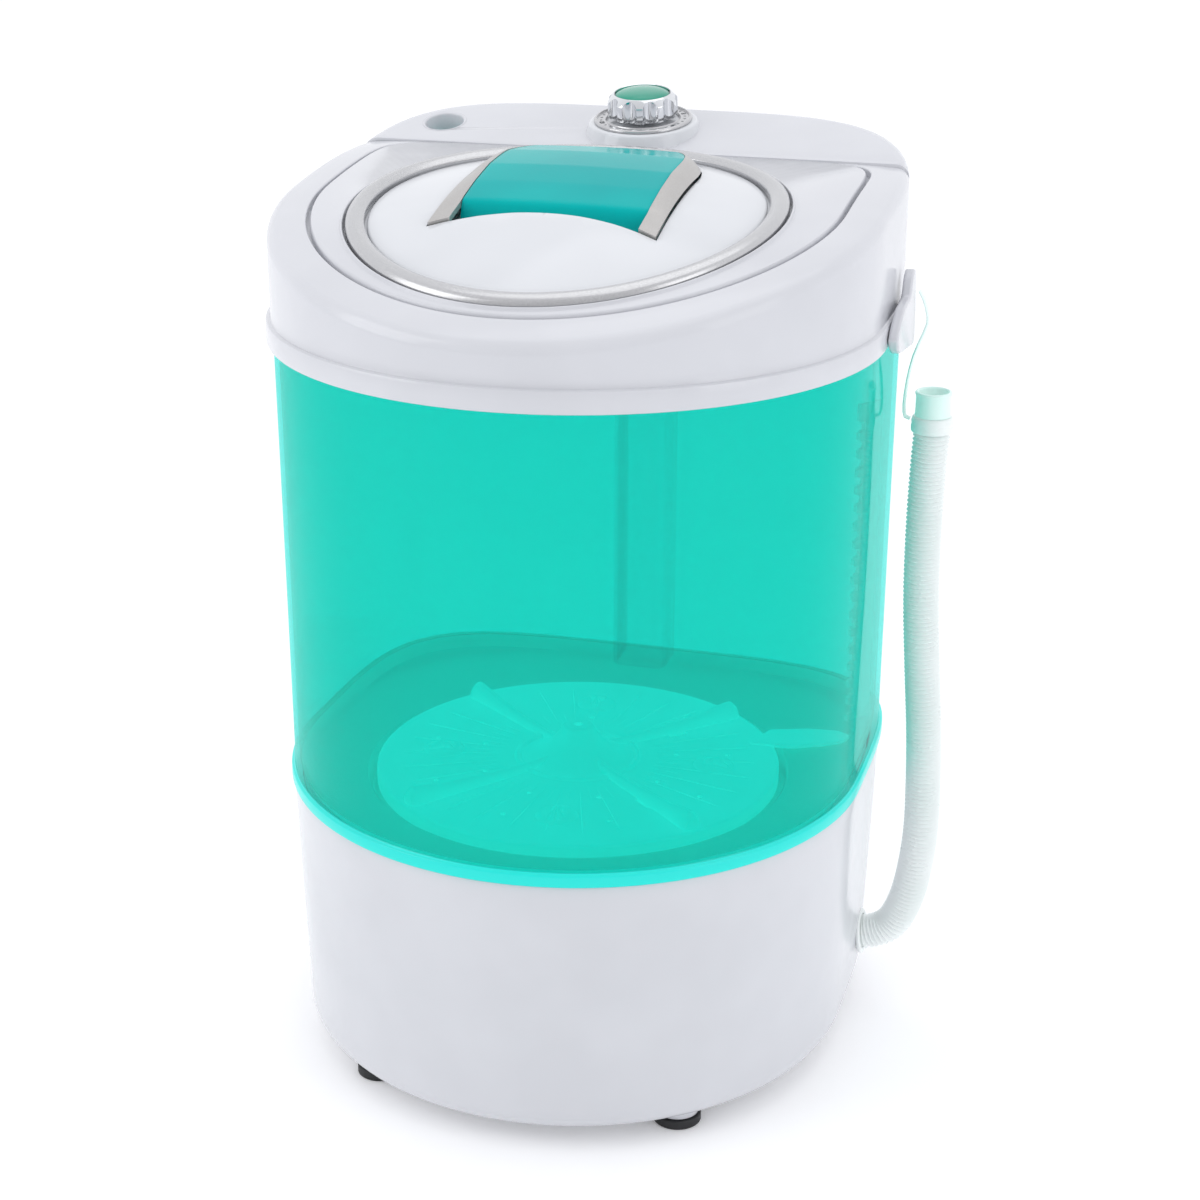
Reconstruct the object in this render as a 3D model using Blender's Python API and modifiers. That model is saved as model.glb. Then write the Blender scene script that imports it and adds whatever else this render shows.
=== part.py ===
"""Portable mini washer: a single translucent tub on a motor base, with a sloping top cover, a lift-off
lid, a timer at the back and a drain hose hooked up at the right. Metres, +Z up, front towards -Y.
The origin is on the floor under the tub's axis, where the pulsator turns."""

import math

import bmesh
import bpy
from mathutils import Matrix, Vector

# Heights above the floor.
BASE_BOTTOM = 0.0145
TUB_JOINT = 0.1660  # top edge of the base, where the tub stands on it
LIP_BOTTOM = 0.4240  # bottom edge of the top cover
DECK_AXIS = 0.4975  # height of the sloping deck on the tub's axis
PANEL_CREASE_Z = 0.5050

# Plan sizes. The plan is round at the front and squared off at the back.
BASE_RADIUS = 0.1655
TUB_RADIUS = 0.1668
COVER_RADIUS = 0.1678
LIP_RADIUS = 0.1705
BACK_SQUARENESS = 3.8
DECK_HALF_WIDTH = 0.1445
PANEL_CREASE_Y = 0.1035
PANEL_BOTTOM = 0.4453  # where the rear panel stands on the cover's lip
WALL = 0.0026
GAP = 0.0003  # between pieces that touch
BASE_PLATE_THICKNESS = 0.0024
AROUND = 40  # points round a plan outline

# The deck falls towards the front, more steeply the further it goes. The timer panel rises to the back.
DECK_SLOPE = 0.130
DECK_BEND = 0.570  # how much the slope changes, per metre
PANEL_TILT = math.radians(15.0)
KNOB_TILT = math.radians(8.0)

# The lid lies on the deck. Its own heights are measured straight up from the deck's surface.
LID_Y = -0.0205
RING_OUTER = 0.1185
RING_INNER = 0.1080
LID_PLUG = 0.1110
LID_HOLE = 0.1140
LID_CROWN = 0.0114  # how far the lid's middle stands above its edge
LID_SKIN = 0.0024
GRIP_HALF_WIDTH = 0.0517
BAND_WIDTH = 0.0110
GRIP_FRONT = -0.0140
GRIP_BACK = 0.0985
GRIP_THICKNESS = 0.0030
GRIP_RISE = (
    (-0.0140, 0.0100), (0.0050, 0.0128), (0.0300, 0.0146), (0.0600, 0.0140), (0.0800, 0.0118), (0.0985, 0.0078),
)
WELL_FRONT = -0.0240
WELL_BACK = 0.0850
WELL_HALF_WIDTH = 0.0520
WELL_FLOOR = -0.0070

# The timer.
KNOB_AXIS = Vector((0.0, 0.1345, 0.5180))
SEAT_RADIUS = 0.0335
KNOB_RADIUS = 0.0206
KNOB_HEIGHT = 0.0165

INLET = Vector((-0.1220, 0.1300, 0.0))  # the water inlet, on the panel's left

# The drive.
PULSATOR_RADIUS = 0.1180
VANE_ANGLES = (50, 140, 230, 320)  # degrees from +X
SHAFT_RADIUS = 0.0050
BELT_Z = 0.0480
MOTOR_AXIS = Vector((-0.078, 0.052, 0.0))
DRIVEN_RADIUS = 0.0550
MOTOR_PULLEY_RADIUS = 0.0140

# The drain hose: its route, from the outlet in the base up to the open end at the hook.
HOSE_RADIUS = 0.0105
HOSE_ROUTE = (
    (0.1480, 0.0610, 0.0440),
    (0.1580, 0.0612, 0.0440),
    (0.1675, 0.0614, 0.0452),
    (0.1800, 0.0616, 0.0525),
    (0.1880, 0.0618, 0.0690),
    (0.1925, 0.0620, 0.0900),
    (0.1950, 0.0620, 0.1150),
    (0.1952, 0.0620, 0.1400),
    (0.1938, 0.0620, 0.1800),
    (0.1905, 0.0620, 0.2250),
    (0.1880, 0.0620, 0.2650),
    (0.1874, 0.0620, 0.3050),
    (0.1880, 0.0620, 0.3400),
    (0.1890, 0.0620, 0.3630),
)
HOSE_POINTS = 40
COLLAR_Z = 0.3640
CUFF_Z = 0.3735
CUFF_TOP = 0.3875

LUG_FACE = 0.1712  # inner face of the hook bracket, beside the cover's lip
LUG_THICKNESS = 0.0056

FOOT_RING = 0.1430  # distance of each foot from the axis
SCREW_RING = 0.1400
DRAIN = Vector((0.0980, 0.0435, 0.0))  # the drain in the tub's floor, under the pulsator
CORD_GLAND = Vector((-0.0750, 0.1600, 0.0600))

ORIGIN = Vector((0.0, 0.0, 0.0))


def clear_scene():
    for obj in list(bpy.data.objects):
        bpy.data.objects.remove(obj, do_unlink=True)


def new_collection(name):
    made = bpy.data.collections.new(name)
    bpy.context.scene.collection.children.link(made)
    return made


def plastic(name, colour, roughness=0.35, metallic=0.0, alpha=1.0):
    """A Principled material from 0-255 sRGB values."""
    made = bpy.data.materials.new(name)
    made.use_nodes = True
    shader = made.node_tree.nodes["Principled BSDF"]
    linear = [(channel / 255) ** 2.2 for channel in colour]
    shader.inputs["Base Color"].default_value = (*linear, 1.0)
    shader.inputs["Roughness"].default_value = roughness
    shader.inputs["Metallic"].default_value = metallic
    shader.inputs["Alpha"].default_value = alpha
    made.diffuse_color = (*linear, alpha)
    return made


clear_scene()
PARTS = new_collection("portable_mini_washer")
CUTTERS = new_collection("cutters")

WHITE = plastic("white_abs", (232, 233, 240), 0.25)
TURQUOISE = plastic("turquoise_polypropylene", (0, 196, 186), 0.2, alpha=0.6)
GREEN = plastic("green_gloss_plastic", (0, 176, 170), 0.12)
SILVER = plastic("silver_painted_plastic", (182, 186, 192), 0.3, 0.6)
WARM_GREY = plastic("warm_grey_plastic", (181, 178, 175), 0.35)
CHROME = plastic("chrome_plated_plastic", (214, 217, 221), 0.08, 1.0)
BLACK = plastic("black_rubber", (22, 22, 24), 0.7)
HOSE = plastic("pale_hose_plastic", (214, 220, 216), 0.35)
STEEL = plastic("steel", (170, 172, 176), 0.3, 1.0)
CAST = plastic("cast_aluminium", (150, 152, 155), 0.5, 1.0)
GREY = plastic("grey_plastic", (120, 123, 128), 0.5)
BRONZE = plastic("sintered_bronze", (160, 120, 70), 0.45, 1.0)


def keep(obj, surface, smooth=35):
    """Puts a finished object in the parts collection with its material and its shading."""
    for collection in list(obj.users_collection):
        collection.objects.unlink(obj)
    PARTS.objects.link(obj)
    obj.data.materials.clear()
    obj.data.materials.append(surface)
    if obj.type == "MESH" and smooth:
        obj.data.shade_smooth()
        obj.data.set_sharp_from_angle(angle=math.radians(smooth))
    return obj


def keep_as_cutter(obj):
    for collection in list(obj.users_collection):
        collection.objects.unlink(obj)
    CUTTERS.objects.link(obj)
    obj.hide_render = True
    obj.display_type = "WIRE"
    return obj


def cut(obj, cutter, operation="DIFFERENCE"):
    step = obj.modifiers.new(f"{operation.lower()}_{cutter.name}", "BOOLEAN")
    step.operation = operation
    step.solver = "EXACT"
    step.object = cutter
    return obj


def mesh_object(name, bm):
    bmesh.ops.recalc_face_normals(bm, faces=bm.faces)
    mesh = bpy.data.meshes.new(name)
    bm.to_mesh(mesh)
    bm.free()
    obj = bpy.data.objects.new(name, mesh)
    bpy.context.scene.collection.objects.link(obj)
    return obj


def box(name, size, centre, turn=None):
    """A box with its size in the mesh, turned about its own centre."""
    bm = bmesh.new()
    bmesh.ops.create_cube(bm, size=1.0, matrix=Matrix.Diagonal((*size, 1.0)))
    obj = mesh_object(name, bm)
    obj.location = centre
    if turn:
        obj.rotation_euler = turn
    return obj


def cylinder(name, radius, bottom, top, at=(0.0, 0.0), steps=24, top_radius=None, turn=None):
    """An upright cylinder or cone from height bottom to top. A turn is about its own middle."""
    bm = bmesh.new()
    upper = radius if top_radius is None else top_radius
    bmesh.ops.create_cone(
        bm, cap_ends=True, segments=steps, radius1=radius, radius2=upper, depth=top - bottom
    )
    obj = mesh_object(name, bm)
    obj.location = (at[0], at[1], (top + bottom) / 2)
    if turn:
        obj.rotation_euler = turn
    return obj


def turned(name, profile, at=ORIGIN, tilt=0.0, steps=24, ring=False):
    """A profile of (radius, height) points spun about the local Z. A ring's profile is a closed loop
    that stays off the axis. The profile is turned round where needed, to run down its outer side."""
    around_it = zip(profile, profile[1:] + profile[:1])
    if sum(r1 * z2 - r2 * z1 for (r1, z1), (r2, z2) in around_it) > 0:
        profile = profile[::-1]
    mesh = bpy.data.meshes.new(name)
    points = [(radius, 0.0, height) for radius, height in profile]
    edges = [(i, i + 1) for i in range(len(points) - 1)]
    if ring:
        edges.append((len(points) - 1, 0))
    mesh.from_pydata(points, edges, [])
    obj = bpy.data.objects.new(name, mesh)
    bpy.context.scene.collection.objects.link(obj)
    obj.location = at
    obj.rotation_euler = (tilt, 0.0, 0.0)
    spin = obj.modifiers.new("spin", "SCREW")
    spin.steps = steps
    spin.render_steps = steps
    spin.use_merge_vertices = True
    spin.merge_threshold = 0.00005
    spin.use_smooth_shade = True
    return obj


def outline(name, points, bottom, top):
    """A flat shape through (x, y) points, thick from height bottom to top."""
    curve = bpy.data.curves.new(name, "CURVE")
    curve.dimensions = "2D"
    curve.fill_mode = "BOTH"
    curve.extrude = (top - bottom) / 2
    spline = curve.splines.new("POLY")
    spline.points.add(len(points) - 1)
    for point, place in zip(spline.points, points):
        point.co = (place[0], place[1], 0.0, 1.0)
    spline.use_cyclic_u = True
    obj = bpy.data.objects.new(name, curve)
    bpy.context.scene.collection.objects.link(obj)
    obj.matrix_world = Matrix.Translation((0.0, 0.0, (top + bottom) / 2))
    return as_mesh(obj)


def as_mesh(obj):
    """The curve's evaluated solid as a mesh object in its place, with its caps welded on."""
    bpy.context.view_layer.update()
    graph = bpy.context.evaluated_depsgraph_get()
    mesh = bpy.data.meshes.new_from_object(obj.evaluated_get(graph))
    name = obj.name
    place = obj.matrix_world.copy()
    bpy.data.objects.remove(obj, do_unlink=True)
    bm = bmesh.new()
    bm.from_mesh(mesh)
    bmesh.ops.remove_doubles(bm, verts=bm.verts, dist=0.00001)
    made = mesh_object(name, bm)
    made.matrix_world = place
    return made


def rod(name, route, radius):
    """A round bar along the route's points."""
    curve = bpy.data.curves.new(name, "CURVE")
    curve.dimensions = "3D"
    curve.bevel_depth = radius
    curve.bevel_resolution = 2
    curve.use_fill_caps = True
    spline = curve.splines.new("POLY")
    spline.points.add(len(route) - 1)
    for point, place in zip(spline.points, route):
        point.co = (*place, 1.0)
    obj = bpy.data.objects.new(name, curve)
    bpy.context.scene.collection.objects.link(obj)
    return obj


def smooth_route(points, count):
    """count points, evenly spaced on a Catmull-Rom curve through the given ones."""
    knots = [Vector(point) for point in points]
    knots = [2 * knots[0] - knots[1]] + knots + [2 * knots[-1] - knots[-2]]
    fine = []
    for a, b, c, d in zip(knots, knots[1:], knots[2:], knots[3:]):
        for step in range(16):
            t = step / 16
            fine.append(
                0.5 * (2 * b + (c - a) * t + (2 * a - 5 * b + 4 * c - d) * t * t
                       + (3 * b - a - 3 * c + d) * t ** 3)
            )
    fine.append(knots[-2])
    reached = [0.0]
    for a, b in zip(fine, fine[1:]):
        reached.append(reached[-1] + (b - a).length)
    even = []
    index = 0
    for step in range(count):
        want = reached[-1] * step / (count - 1)
        while index < len(fine) - 2 and reached[index + 1] < want:
            index += 1
        part = (want - reached[index]) / (reached[index + 1] - reached[index])
        even.append(fine[index].lerp(fine[index + 1], min(max(part, 0.0), 1.0)))
    return even


def squared(value, power):
    return math.copysign(abs(value) ** (2 / power), value)


def body_plan(angle, radius, squareness=1.0):
    """A point of the body's plan: a circle in front, easing into a rounded square at the back."""
    x, y = math.cos(angle), math.sin(angle)
    if y > 0:
        x += (squared(x, BACK_SQUARENESS) - x) * squareness
        y += (squared(y, BACK_SQUARENESS) - y) * squareness
    return radius * x, radius * y


def deck_plan(angle, inset=0.0):
    """The seam round the inner deck: a circle in front, straight sides, and a straight back at the panel."""
    x, y = math.cos(angle), math.sin(angle)
    half_width = DECK_HALF_WIDTH - inset
    if y > 0:
        return half_width * squared(x, 9), (PANEL_CREASE_Y - inset) * squared(y, 9)
    return half_width * x, half_width * y


def round_plan(angle, radius, centre_y=0.0):
    return radius * math.cos(angle), centre_y + radius * math.sin(angle)


def lofted(name, stations, around=AROUND, ring=True):
    """A solid through stations, each a function from an angle to a point. A ring's last station joins its
    first. Otherwise the first and the last stations are closed with a flat cap."""
    bm = bmesh.new()
    loops = []
    for station in stations:
        loops.append([bm.verts.new(station(2 * math.pi * step / around)) for step in range(around)])
    pairs = list(zip(loops, loops[1:]))
    if ring:
        pairs.append((loops[-1], loops[0]))
    else:
        bm.faces.new(loops[0])
        bm.faces.new(loops[-1])
    for lower, upper in pairs:
        for step in range(around):
            after = (step + 1) % around
            bm.faces.new((lower[step], lower[after], upper[after], upper[step]))
    return mesh_object(name, bm)


def level(radius, height, squareness=1.0):
    """A flat station on the body's plan."""
    def place(angle):
        x, y = body_plan(angle, radius, squareness)
        return x, y, height
    return place


def deck_height(y):
    return DECK_AXIS + DECK_SLOPE * y - DECK_BEND * y * y


def shoulder_level(radius, drop):
    """A station on the body's plan that follows the deck, lower by that much."""
    def place(angle):
        x, y = body_plan(angle, radius)
        return x, y, deck_height(y) - drop
    return place


def deck_level(inset, height):
    """A station on the seam's outline, above the deck's surface by that much."""
    def place(angle):
        x, y = deck_plan(angle, inset)
        return x, y, deck_height(y) + height
    return place


def lid_level(radius, height):
    """A station on a circle round the lid's middle, above the deck's surface by that much."""
    def place(angle):
        x, y = round_plan(angle, radius, LID_Y)
        return x, y, deck_height(y) + height
    return place


def on_lid(x, y, height):
    """A point from the lid's middle, above the deck's surface by that much."""
    return x, LID_Y + y, deck_height(LID_Y + y) + height


def through_sections(name, sections):
    """A solid through flat sections, each a closed list of points."""
    bm = bmesh.new()
    loops = [[bm.verts.new(point) for point in section] for section in sections]
    bm.faces.new(loops[0])
    bm.faces.new(loops[-1])
    count = len(loops[0])
    for lower, upper in zip(loops, loops[1:]):
        for step in range(count):
            after = (step + 1) % count
            bm.faces.new((lower[step], lower[after], upper[after], upper[step]))
    return mesh_object(name, bm)


def panel_height(y):
    return PANEL_CREASE_Z + math.tan(PANEL_TILT) * (y - PANEL_CREASE_Y)


# ---- Base ----


def make_base():
    stations = [
        level(BASE_RADIUS, TUB_JOINT - GAP),
        level(0.1640, 0.110),
        level(0.1618, 0.050),
        level(0.1605, 0.029),
        level(0.1580, 0.0185),
        level(0.1540, BASE_BOTTOM),
        level(0.1300, BASE_BOTTOM),
        level(0.1300, BASE_BOTTOM + WALL),
        level(0.1530, BASE_BOTTOM + WALL),
        level(0.1574, 0.029),
        level(0.1588, 0.050),
        level(0.1625, TUB_JOINT - GAP),
    ]
    base = lofted("base_housing", stations)
    port = cylinder(
        "hose_port_cutter", HOSE_RADIUS + 0.0008, 0.0, 0.05, at=(0.162, 0.0613), steps=20,
        turn=(0.0, math.radians(90), 0.0),
    )
    port.location.z = 0.0447
    cut(base, keep_as_cutter(port))
    gland_hole = cylinder(
        "gland_cutter", 0.0080, 0.0, 0.05, steps=20, turn=(math.radians(90), 0.0, 0.0)
    )
    gland_hole.location = CORD_GLAND
    cut(base, keep_as_cutter(gland_hole))
    return keep(base, WHITE)


def make_base_plate():
    low = BASE_BOTTOM + WALL + GAP
    plate = lofted("base_plate", [level(0.1500, low), level(0.1500, low + BASE_PLATE_THICKNESS)], ring=False)
    for row in range(5):
        slot = box(f"vent_cutter_{row + 1}", (0.060, 0.005, 0.02), (0.055, -0.030 + row * 0.014, low))
        cut(plate, keep_as_cutter(slot))
    return keep(plate, WHITE, smooth=0)


def make_feet():
    for side, angle in (
        ("front_right", -45), ("front_left", -135), ("rear_left", 135), ("rear_right", 45)
    ):
        x = FOOT_RING * math.cos(math.radians(angle))
        y = FOOT_RING * math.sin(math.radians(angle))
        boss = turned(
            f"foot_boss_{side}",
            [(0.0, BASE_BOTTOM - GAP), (0.0132, BASE_BOTTOM - GAP), (0.0124, 0.0062), (0.0, 0.0062)],
            at=(x, y, 0.0), steps=16,
        )
        keep(boss, WHITE)
        pad = turned(
            f"foot_pad_{side}",
            [(0.0, 0.0059), (0.0122, 0.0059), (0.0136, 0.0050), (0.0136, 0.0012), (0.0126, 0.0), (0.0, 0.0)],
            at=(x, y, 0.0), steps=16,
        )
        keep(pad, BLACK)


def make_base_screws():
    """Self-tapping screws that hold the base plate down on the housing's rim."""
    for number, angle in enumerate((0, 90, 180, 270), start=1):
        x = SCREW_RING * math.cos(math.radians(angle))
        y = SCREW_RING * math.sin(math.radians(angle))
        seat = BASE_BOTTOM + WALL + 2 * GAP + BASE_PLATE_THICKNESS
        screw = turned(
            f"base_screw_{number}",
            [(0.0, seat + 0.0030), (0.0024, seat + 0.0028), (0.0042, seat + 0.0010), (0.0042, seat), (0.0, seat)],
            at=(x, y, 0.0), steps=10,
        )
        keep(screw, STEEL)


# ---- Tub ----


def make_tub():
    top = LIP_BOTTOM + 0.0065
    stations = [
        level(TUB_RADIUS, top),
        level(0.1650, TUB_JOINT + 0.0085),
        level(0.1672, TUB_JOINT + 0.0068),
        level(0.1672, TUB_JOINT),
        level(0.1610, TUB_JOINT),
        level(0.1590, 0.1600, 0.8),
        level(0.1245, 0.1575, 0.0),
        level(0.1225, 0.1490, 0.0),
        level(0.0125, 0.1490, 0.0),
        level(0.0125, 0.1520, 0.0),
        level(0.1205, 0.1520, 0.0),
        level(0.1228, 0.1620, 0.0),
        level(0.1580, 0.1645, 0.8),
        level(0.1618, 0.1710),
        level(TUB_RADIUS - WALL, top),
    ]
    tub = lofted("tub", stations)
    drain = cylinder("drain_cutter", 0.0085, 0.14, 0.18, at=(DRAIN.x, DRAIN.y), steps=20)
    cut(tub, keep_as_cutter(drain))
    return keep(tub, TURQUOISE)


def make_tub_gasket():
    """The soft seal inside the joint, between the tub's floor edge and the base."""
    stations = [
        level(0.1622, TUB_JOINT - 0.0012),
        level(0.1620, TUB_JOINT - 0.0070),
        level(0.1606, TUB_JOINT - 0.0070),
        level(0.1611, TUB_JOINT - 0.0012),
    ]
    return keep(lofted("tub_gasket", stations), BLACK)


def make_rear_duct():
    """The dry channel down the back wall, which takes the timer's wires past the wash."""
    half, front, back = 0.0170, 0.1330, 0.1612
    points = [(-half, back), (-half, front + 0.004), (-half + 0.004, front),
              (half - 0.004, front), (half, front + 0.004), (half, back),
              (half - 0.0022, back), (half - 0.0022, front + 0.0045), (half - 0.0045, front + 0.0022),
              (-half + 0.0045, front + 0.0022), (-half + 0.0022, front + 0.0045), (-half + 0.0022, back)]
    duct = outline("rear_duct", points, 0.1720, 0.4280)
    return keep(duct, TURQUOISE, smooth=0)


def make_overflow_filter():
    """The comb-edged strainer plate that stands in the right rear of the tub, over the drain's inlet."""
    count = 17
    pitch = 0.0110
    low = 0.1745
    width = 0.0190
    points = [(0.0, low), (width, low), (width, low + count * pitch + 0.010), (0.0, low + count * pitch + 0.010)]
    for tooth in reversed(range(count)):
        z = low + 0.004 + tooth * pitch
        points += [(0.0, z + pitch * 0.62), (0.0045, z + pitch * 0.50), (0.0045, z + pitch * 0.12), (0.0, z)]
    plate = outline("overflow_filter", points, -0.0012, 0.0012)
    plate.matrix_world = (
        Matrix.Translation((0.1445, 0.0790, 0.0))
        @ Matrix.Rotation(math.radians(58), 4, "Z")
        @ Matrix.Rotation(math.radians(90), 4, "X")
    )
    return keep(plate, WHITE, smooth=0)


# ---- Drive ----


def make_pulsator():
    disc = turned(
        "pulsator",
        [
            (0.0, 0.1862), (0.0075, 0.1862), (0.0105, 0.1850), (0.0150, 0.1790), (0.0205, 0.1722),
            (0.0300, 0.1682), (0.0480, 0.1668), (0.0900, 0.1662), (0.1150, 0.1658),
            (PULSATOR_RADIUS, 0.1640), (PULSATOR_RADIUS, 0.1575), (PULSATOR_RADIUS - 0.0022, 0.1575),
            (PULSATOR_RADIUS - 0.0022, 0.1630), (0.0300, 0.1648), (0.0170, 0.1700), (0.0105, 0.1700),
            (0.0105, 0.1560), (0.0, 0.1560),
        ],
        steps=AROUND,
    )
    for number, angle in enumerate(VANE_ANGLES, start=1):
        turn = math.radians(angle)
        vane = outline(
            f"vane_{number}",
            [(0.016, -0.0045), (0.104, -0.0062), (0.111, 0.0), (0.104, 0.0062), (0.016, 0.0045)],
            0.1655, 0.1755,
        )
        vane.matrix_world = Matrix.Rotation(turn, 4, "Z") @ vane.matrix_world
        cut(disc, keep_as_cutter(vane), "UNION")
    bore = cylinder("pulsator_bore_cutter", SHAFT_RADIUS + 0.0002, 0.15, 0.1752, steps=20)
    cut(disc, keep_as_cutter(bore))
    well = cylinder("pulsator_well_cutter", 0.0045, 0.1758, 0.2, steps=20)
    cut(disc, keep_as_cutter(well))
    link = cylinder("pulsator_screw_cutter", 0.0024, 0.17, 0.19, steps=16)
    cut(disc, keep_as_cutter(link))
    return keep(disc, TURQUOISE)


def make_pulsator_screw():
    screw = turned(
        "pulsator_screw",
        [(0.0, 0.1795), (0.0040, 0.1790), (0.0040, 0.1761), (0.0021, 0.1761), (0.0021, 0.1754), (0.0, 0.1754)],
        steps=16,
    )
    return keep(screw, STEEL)


def make_drive_shaft():
    shaft = turned(
        "drive_shaft",
        [(0.0, 0.1749), (0.0042, 0.1749), (SHAFT_RADIUS, 0.1740), (SHAFT_RADIUS, 0.0360), (0.0, 0.0360)],
        steps=20,
    )
    return keep(shaft, STEEL)


def make_bearings():
    """The housing hangs under the tub's floor, with a bronze bush at each end and a lip seal on top."""
    housing = turned(
        "bearing_housing",
        [
            (0.0118, 0.1556), (0.0118, 0.1486), (0.0380, 0.1486), (0.0380, 0.1440), (0.0180, 0.1425),
            (0.0160, 0.0760), (0.0092, 0.0760), (0.0092, 0.1556),
        ],
        steps=24, ring=True,
    )
    keep(housing, CAST)
    for name, bottom, top in (("bearing_lower", 0.0765, 0.0905), ("bearing_upper", 0.1330, 0.1470)):
        bush = turned(
            name, [(0.0089, top), (0.0089, bottom), (0.0052, bottom), (0.0052, top)], steps=20, ring=True
        )
        keep(bush, BRONZE)
    seal = turned(
        "shaft_seal",
        [(0.0089, 0.1552), (0.0089, 0.1480), (0.0053, 0.1480), (0.0053, 0.1535), (0.0062, 0.1552)],
        steps=20, ring=True,
    )
    keep(seal, BLACK)


def make_pulleys():
    half = 0.0065
    driven = turned(
        "driven_pulley",
        [
            (SHAFT_RADIUS + 0.0003, BELT_Z + 0.0090), (0.0120, BELT_Z + 0.0090), (0.0120, BELT_Z + 0.0015),
            (DRIVEN_RADIUS - 0.0100, BELT_Z + 0.0015), (DRIVEN_RADIUS - 0.0090, BELT_Z + half),
            (DRIVEN_RADIUS + 0.0020, BELT_Z + half), (DRIVEN_RADIUS - 0.0045, BELT_Z + 0.0035),
            (DRIVEN_RADIUS - 0.0045, BELT_Z - 0.0035), (DRIVEN_RADIUS + 0.0020, BELT_Z - half),
            (DRIVEN_RADIUS - 0.0090, BELT_Z - half), (DRIVEN_RADIUS - 0.0100, BELT_Z - 0.0015),
            (0.0120, BELT_Z - 0.0015), (0.0120, BELT_Z - 0.0090), (SHAFT_RADIUS + 0.0003, BELT_Z - 0.0090),
        ],
        steps=28, ring=True,
    )
    keep(driven, CAST)
    pulley = turned(
        "motor_pulley",
        [
            (0.0043, BELT_Z + half), (MOTOR_PULLEY_RADIUS + 0.0020, BELT_Z + half),
            (MOTOR_PULLEY_RADIUS - 0.0045, BELT_Z + 0.0035), (MOTOR_PULLEY_RADIUS - 0.0045, BELT_Z - 0.0035),
            (MOTOR_PULLEY_RADIUS + 0.0020, BELT_Z - half), (0.0043, BELT_Z - half),
        ],
        at=MOTOR_AXIS, steps=24, ring=True,
    )
    keep(pulley, CAST)


def belt_loop(offset):
    """The outline round both pulleys, as two arcs joined by their outer tangents."""
    reach = MOTOR_AXIS.to_2d()
    heading = math.atan2(reach.y, reach.x)
    lean = math.acos((DRIVEN_RADIUS - MOTOR_PULLEY_RADIUS) / reach.length)
    points = []
    for centre, radius, start, sweep in (
        (Vector((0.0, 0.0)), DRIVEN_RADIUS, heading + lean, 2 * (math.pi - lean)),
        (reach, MOTOR_PULLEY_RADIUS, heading - lean, 2 * lean),
    ):
        steps = 20 if radius == DRIVEN_RADIUS else 8
        for step in range(steps + 1):
            angle = start + sweep * step / steps
            size = radius + offset
            points.append((centre.x + size * math.cos(angle), centre.y + size * math.sin(angle)))
    return points


def make_belt():
    inner = belt_loop(-0.0035)
    outer = belt_loop(0.0010)
    bm = bmesh.new()
    loops = []
    for points, height in ((outer, 0.0030), (outer, -0.0030), (inner, -0.0024), (inner, 0.0024)):
        loops.append([bm.verts.new((x, y, BELT_Z + height)) for x, y in points])
    count = len(outer)
    for lower, upper in zip(loops, loops[1:] + loops[:1]):
        for step in range(count):
            after = (step + 1) % count
            bm.faces.new((lower[step], lower[after], upper[after], upper[step]))
    return keep(mesh_object("drive_belt", bm), BLACK)


def make_motor():
    body = turned(
        "motor_body",
        [
            (0.0090, 0.1330), (0.0200, 0.1330), (0.0230, 0.1290), (0.0440, 0.1270), (0.0470, 0.1240),
            (0.0470, 0.0740), (0.0440, 0.0710), (0.0230, 0.0690), (0.0200, 0.0650), (0.0090, 0.0650),
        ],
        at=MOTOR_AXIS, steps=28, ring=True,
    )
    keep(body, CAST)
    shaft = turned(
        "motor_shaft",
        [(0.0, 0.1350), (0.0040, 0.1350), (0.0040, 0.0390), (0.0, 0.0390)],
        at=MOTOR_AXIS, steps=16,
    )
    keep(shaft, STEEL)
    bracket = turned(
        "motor_bracket",
        [(0.0500, 0.1486), (0.0500, 0.1273), (0.0474, 0.1273), (0.0474, 0.1460), (0.0380, 0.1460),
         (0.0380, 0.1486)],
        at=MOTOR_AXIS, steps=28, ring=True,
    )
    clearance = cylinder("bracket_clearance_cutter", 0.0385, 0.12, 0.16, steps=28)
    cut(bracket, keep_as_cutter(clearance))
    keep(bracket, STEEL)
    capacitor = cylinder("motor_capacitor", 0.0150, 0.0204, 0.0560, at=(0.030, -0.105), steps=20)
    keep(capacitor, GREY)


# ---- Drain ----


def make_drain():
    """The sump under the tub's floor and the spigot that the hose pushes on to."""
    strainer = turned(
        "sump_strainer",
        [(0.0, 0.1548), (0.0104, 0.1544), (0.0110, 0.1534), (0.0110, 0.1523), (0.0080, 0.1523),
         (0.0080, 0.1492), (0.0, 0.1492)],
        at=DRAIN, steps=20,
    )
    keep(strainer, WHITE)
    route = smooth_route(
        ((DRAIN.x, DRAIN.y, 0.1485), (DRAIN.x, DRAIN.y, 0.120), (0.100, 0.0450, 0.085), (0.110, 0.0510, 0.0570),
         (0.125, 0.0590, 0.0450), (0.1468, 0.0610, 0.0440)), 12,
    )
    return keep(rod("outlet_pipe", route, 0.0090), WHITE)


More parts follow.
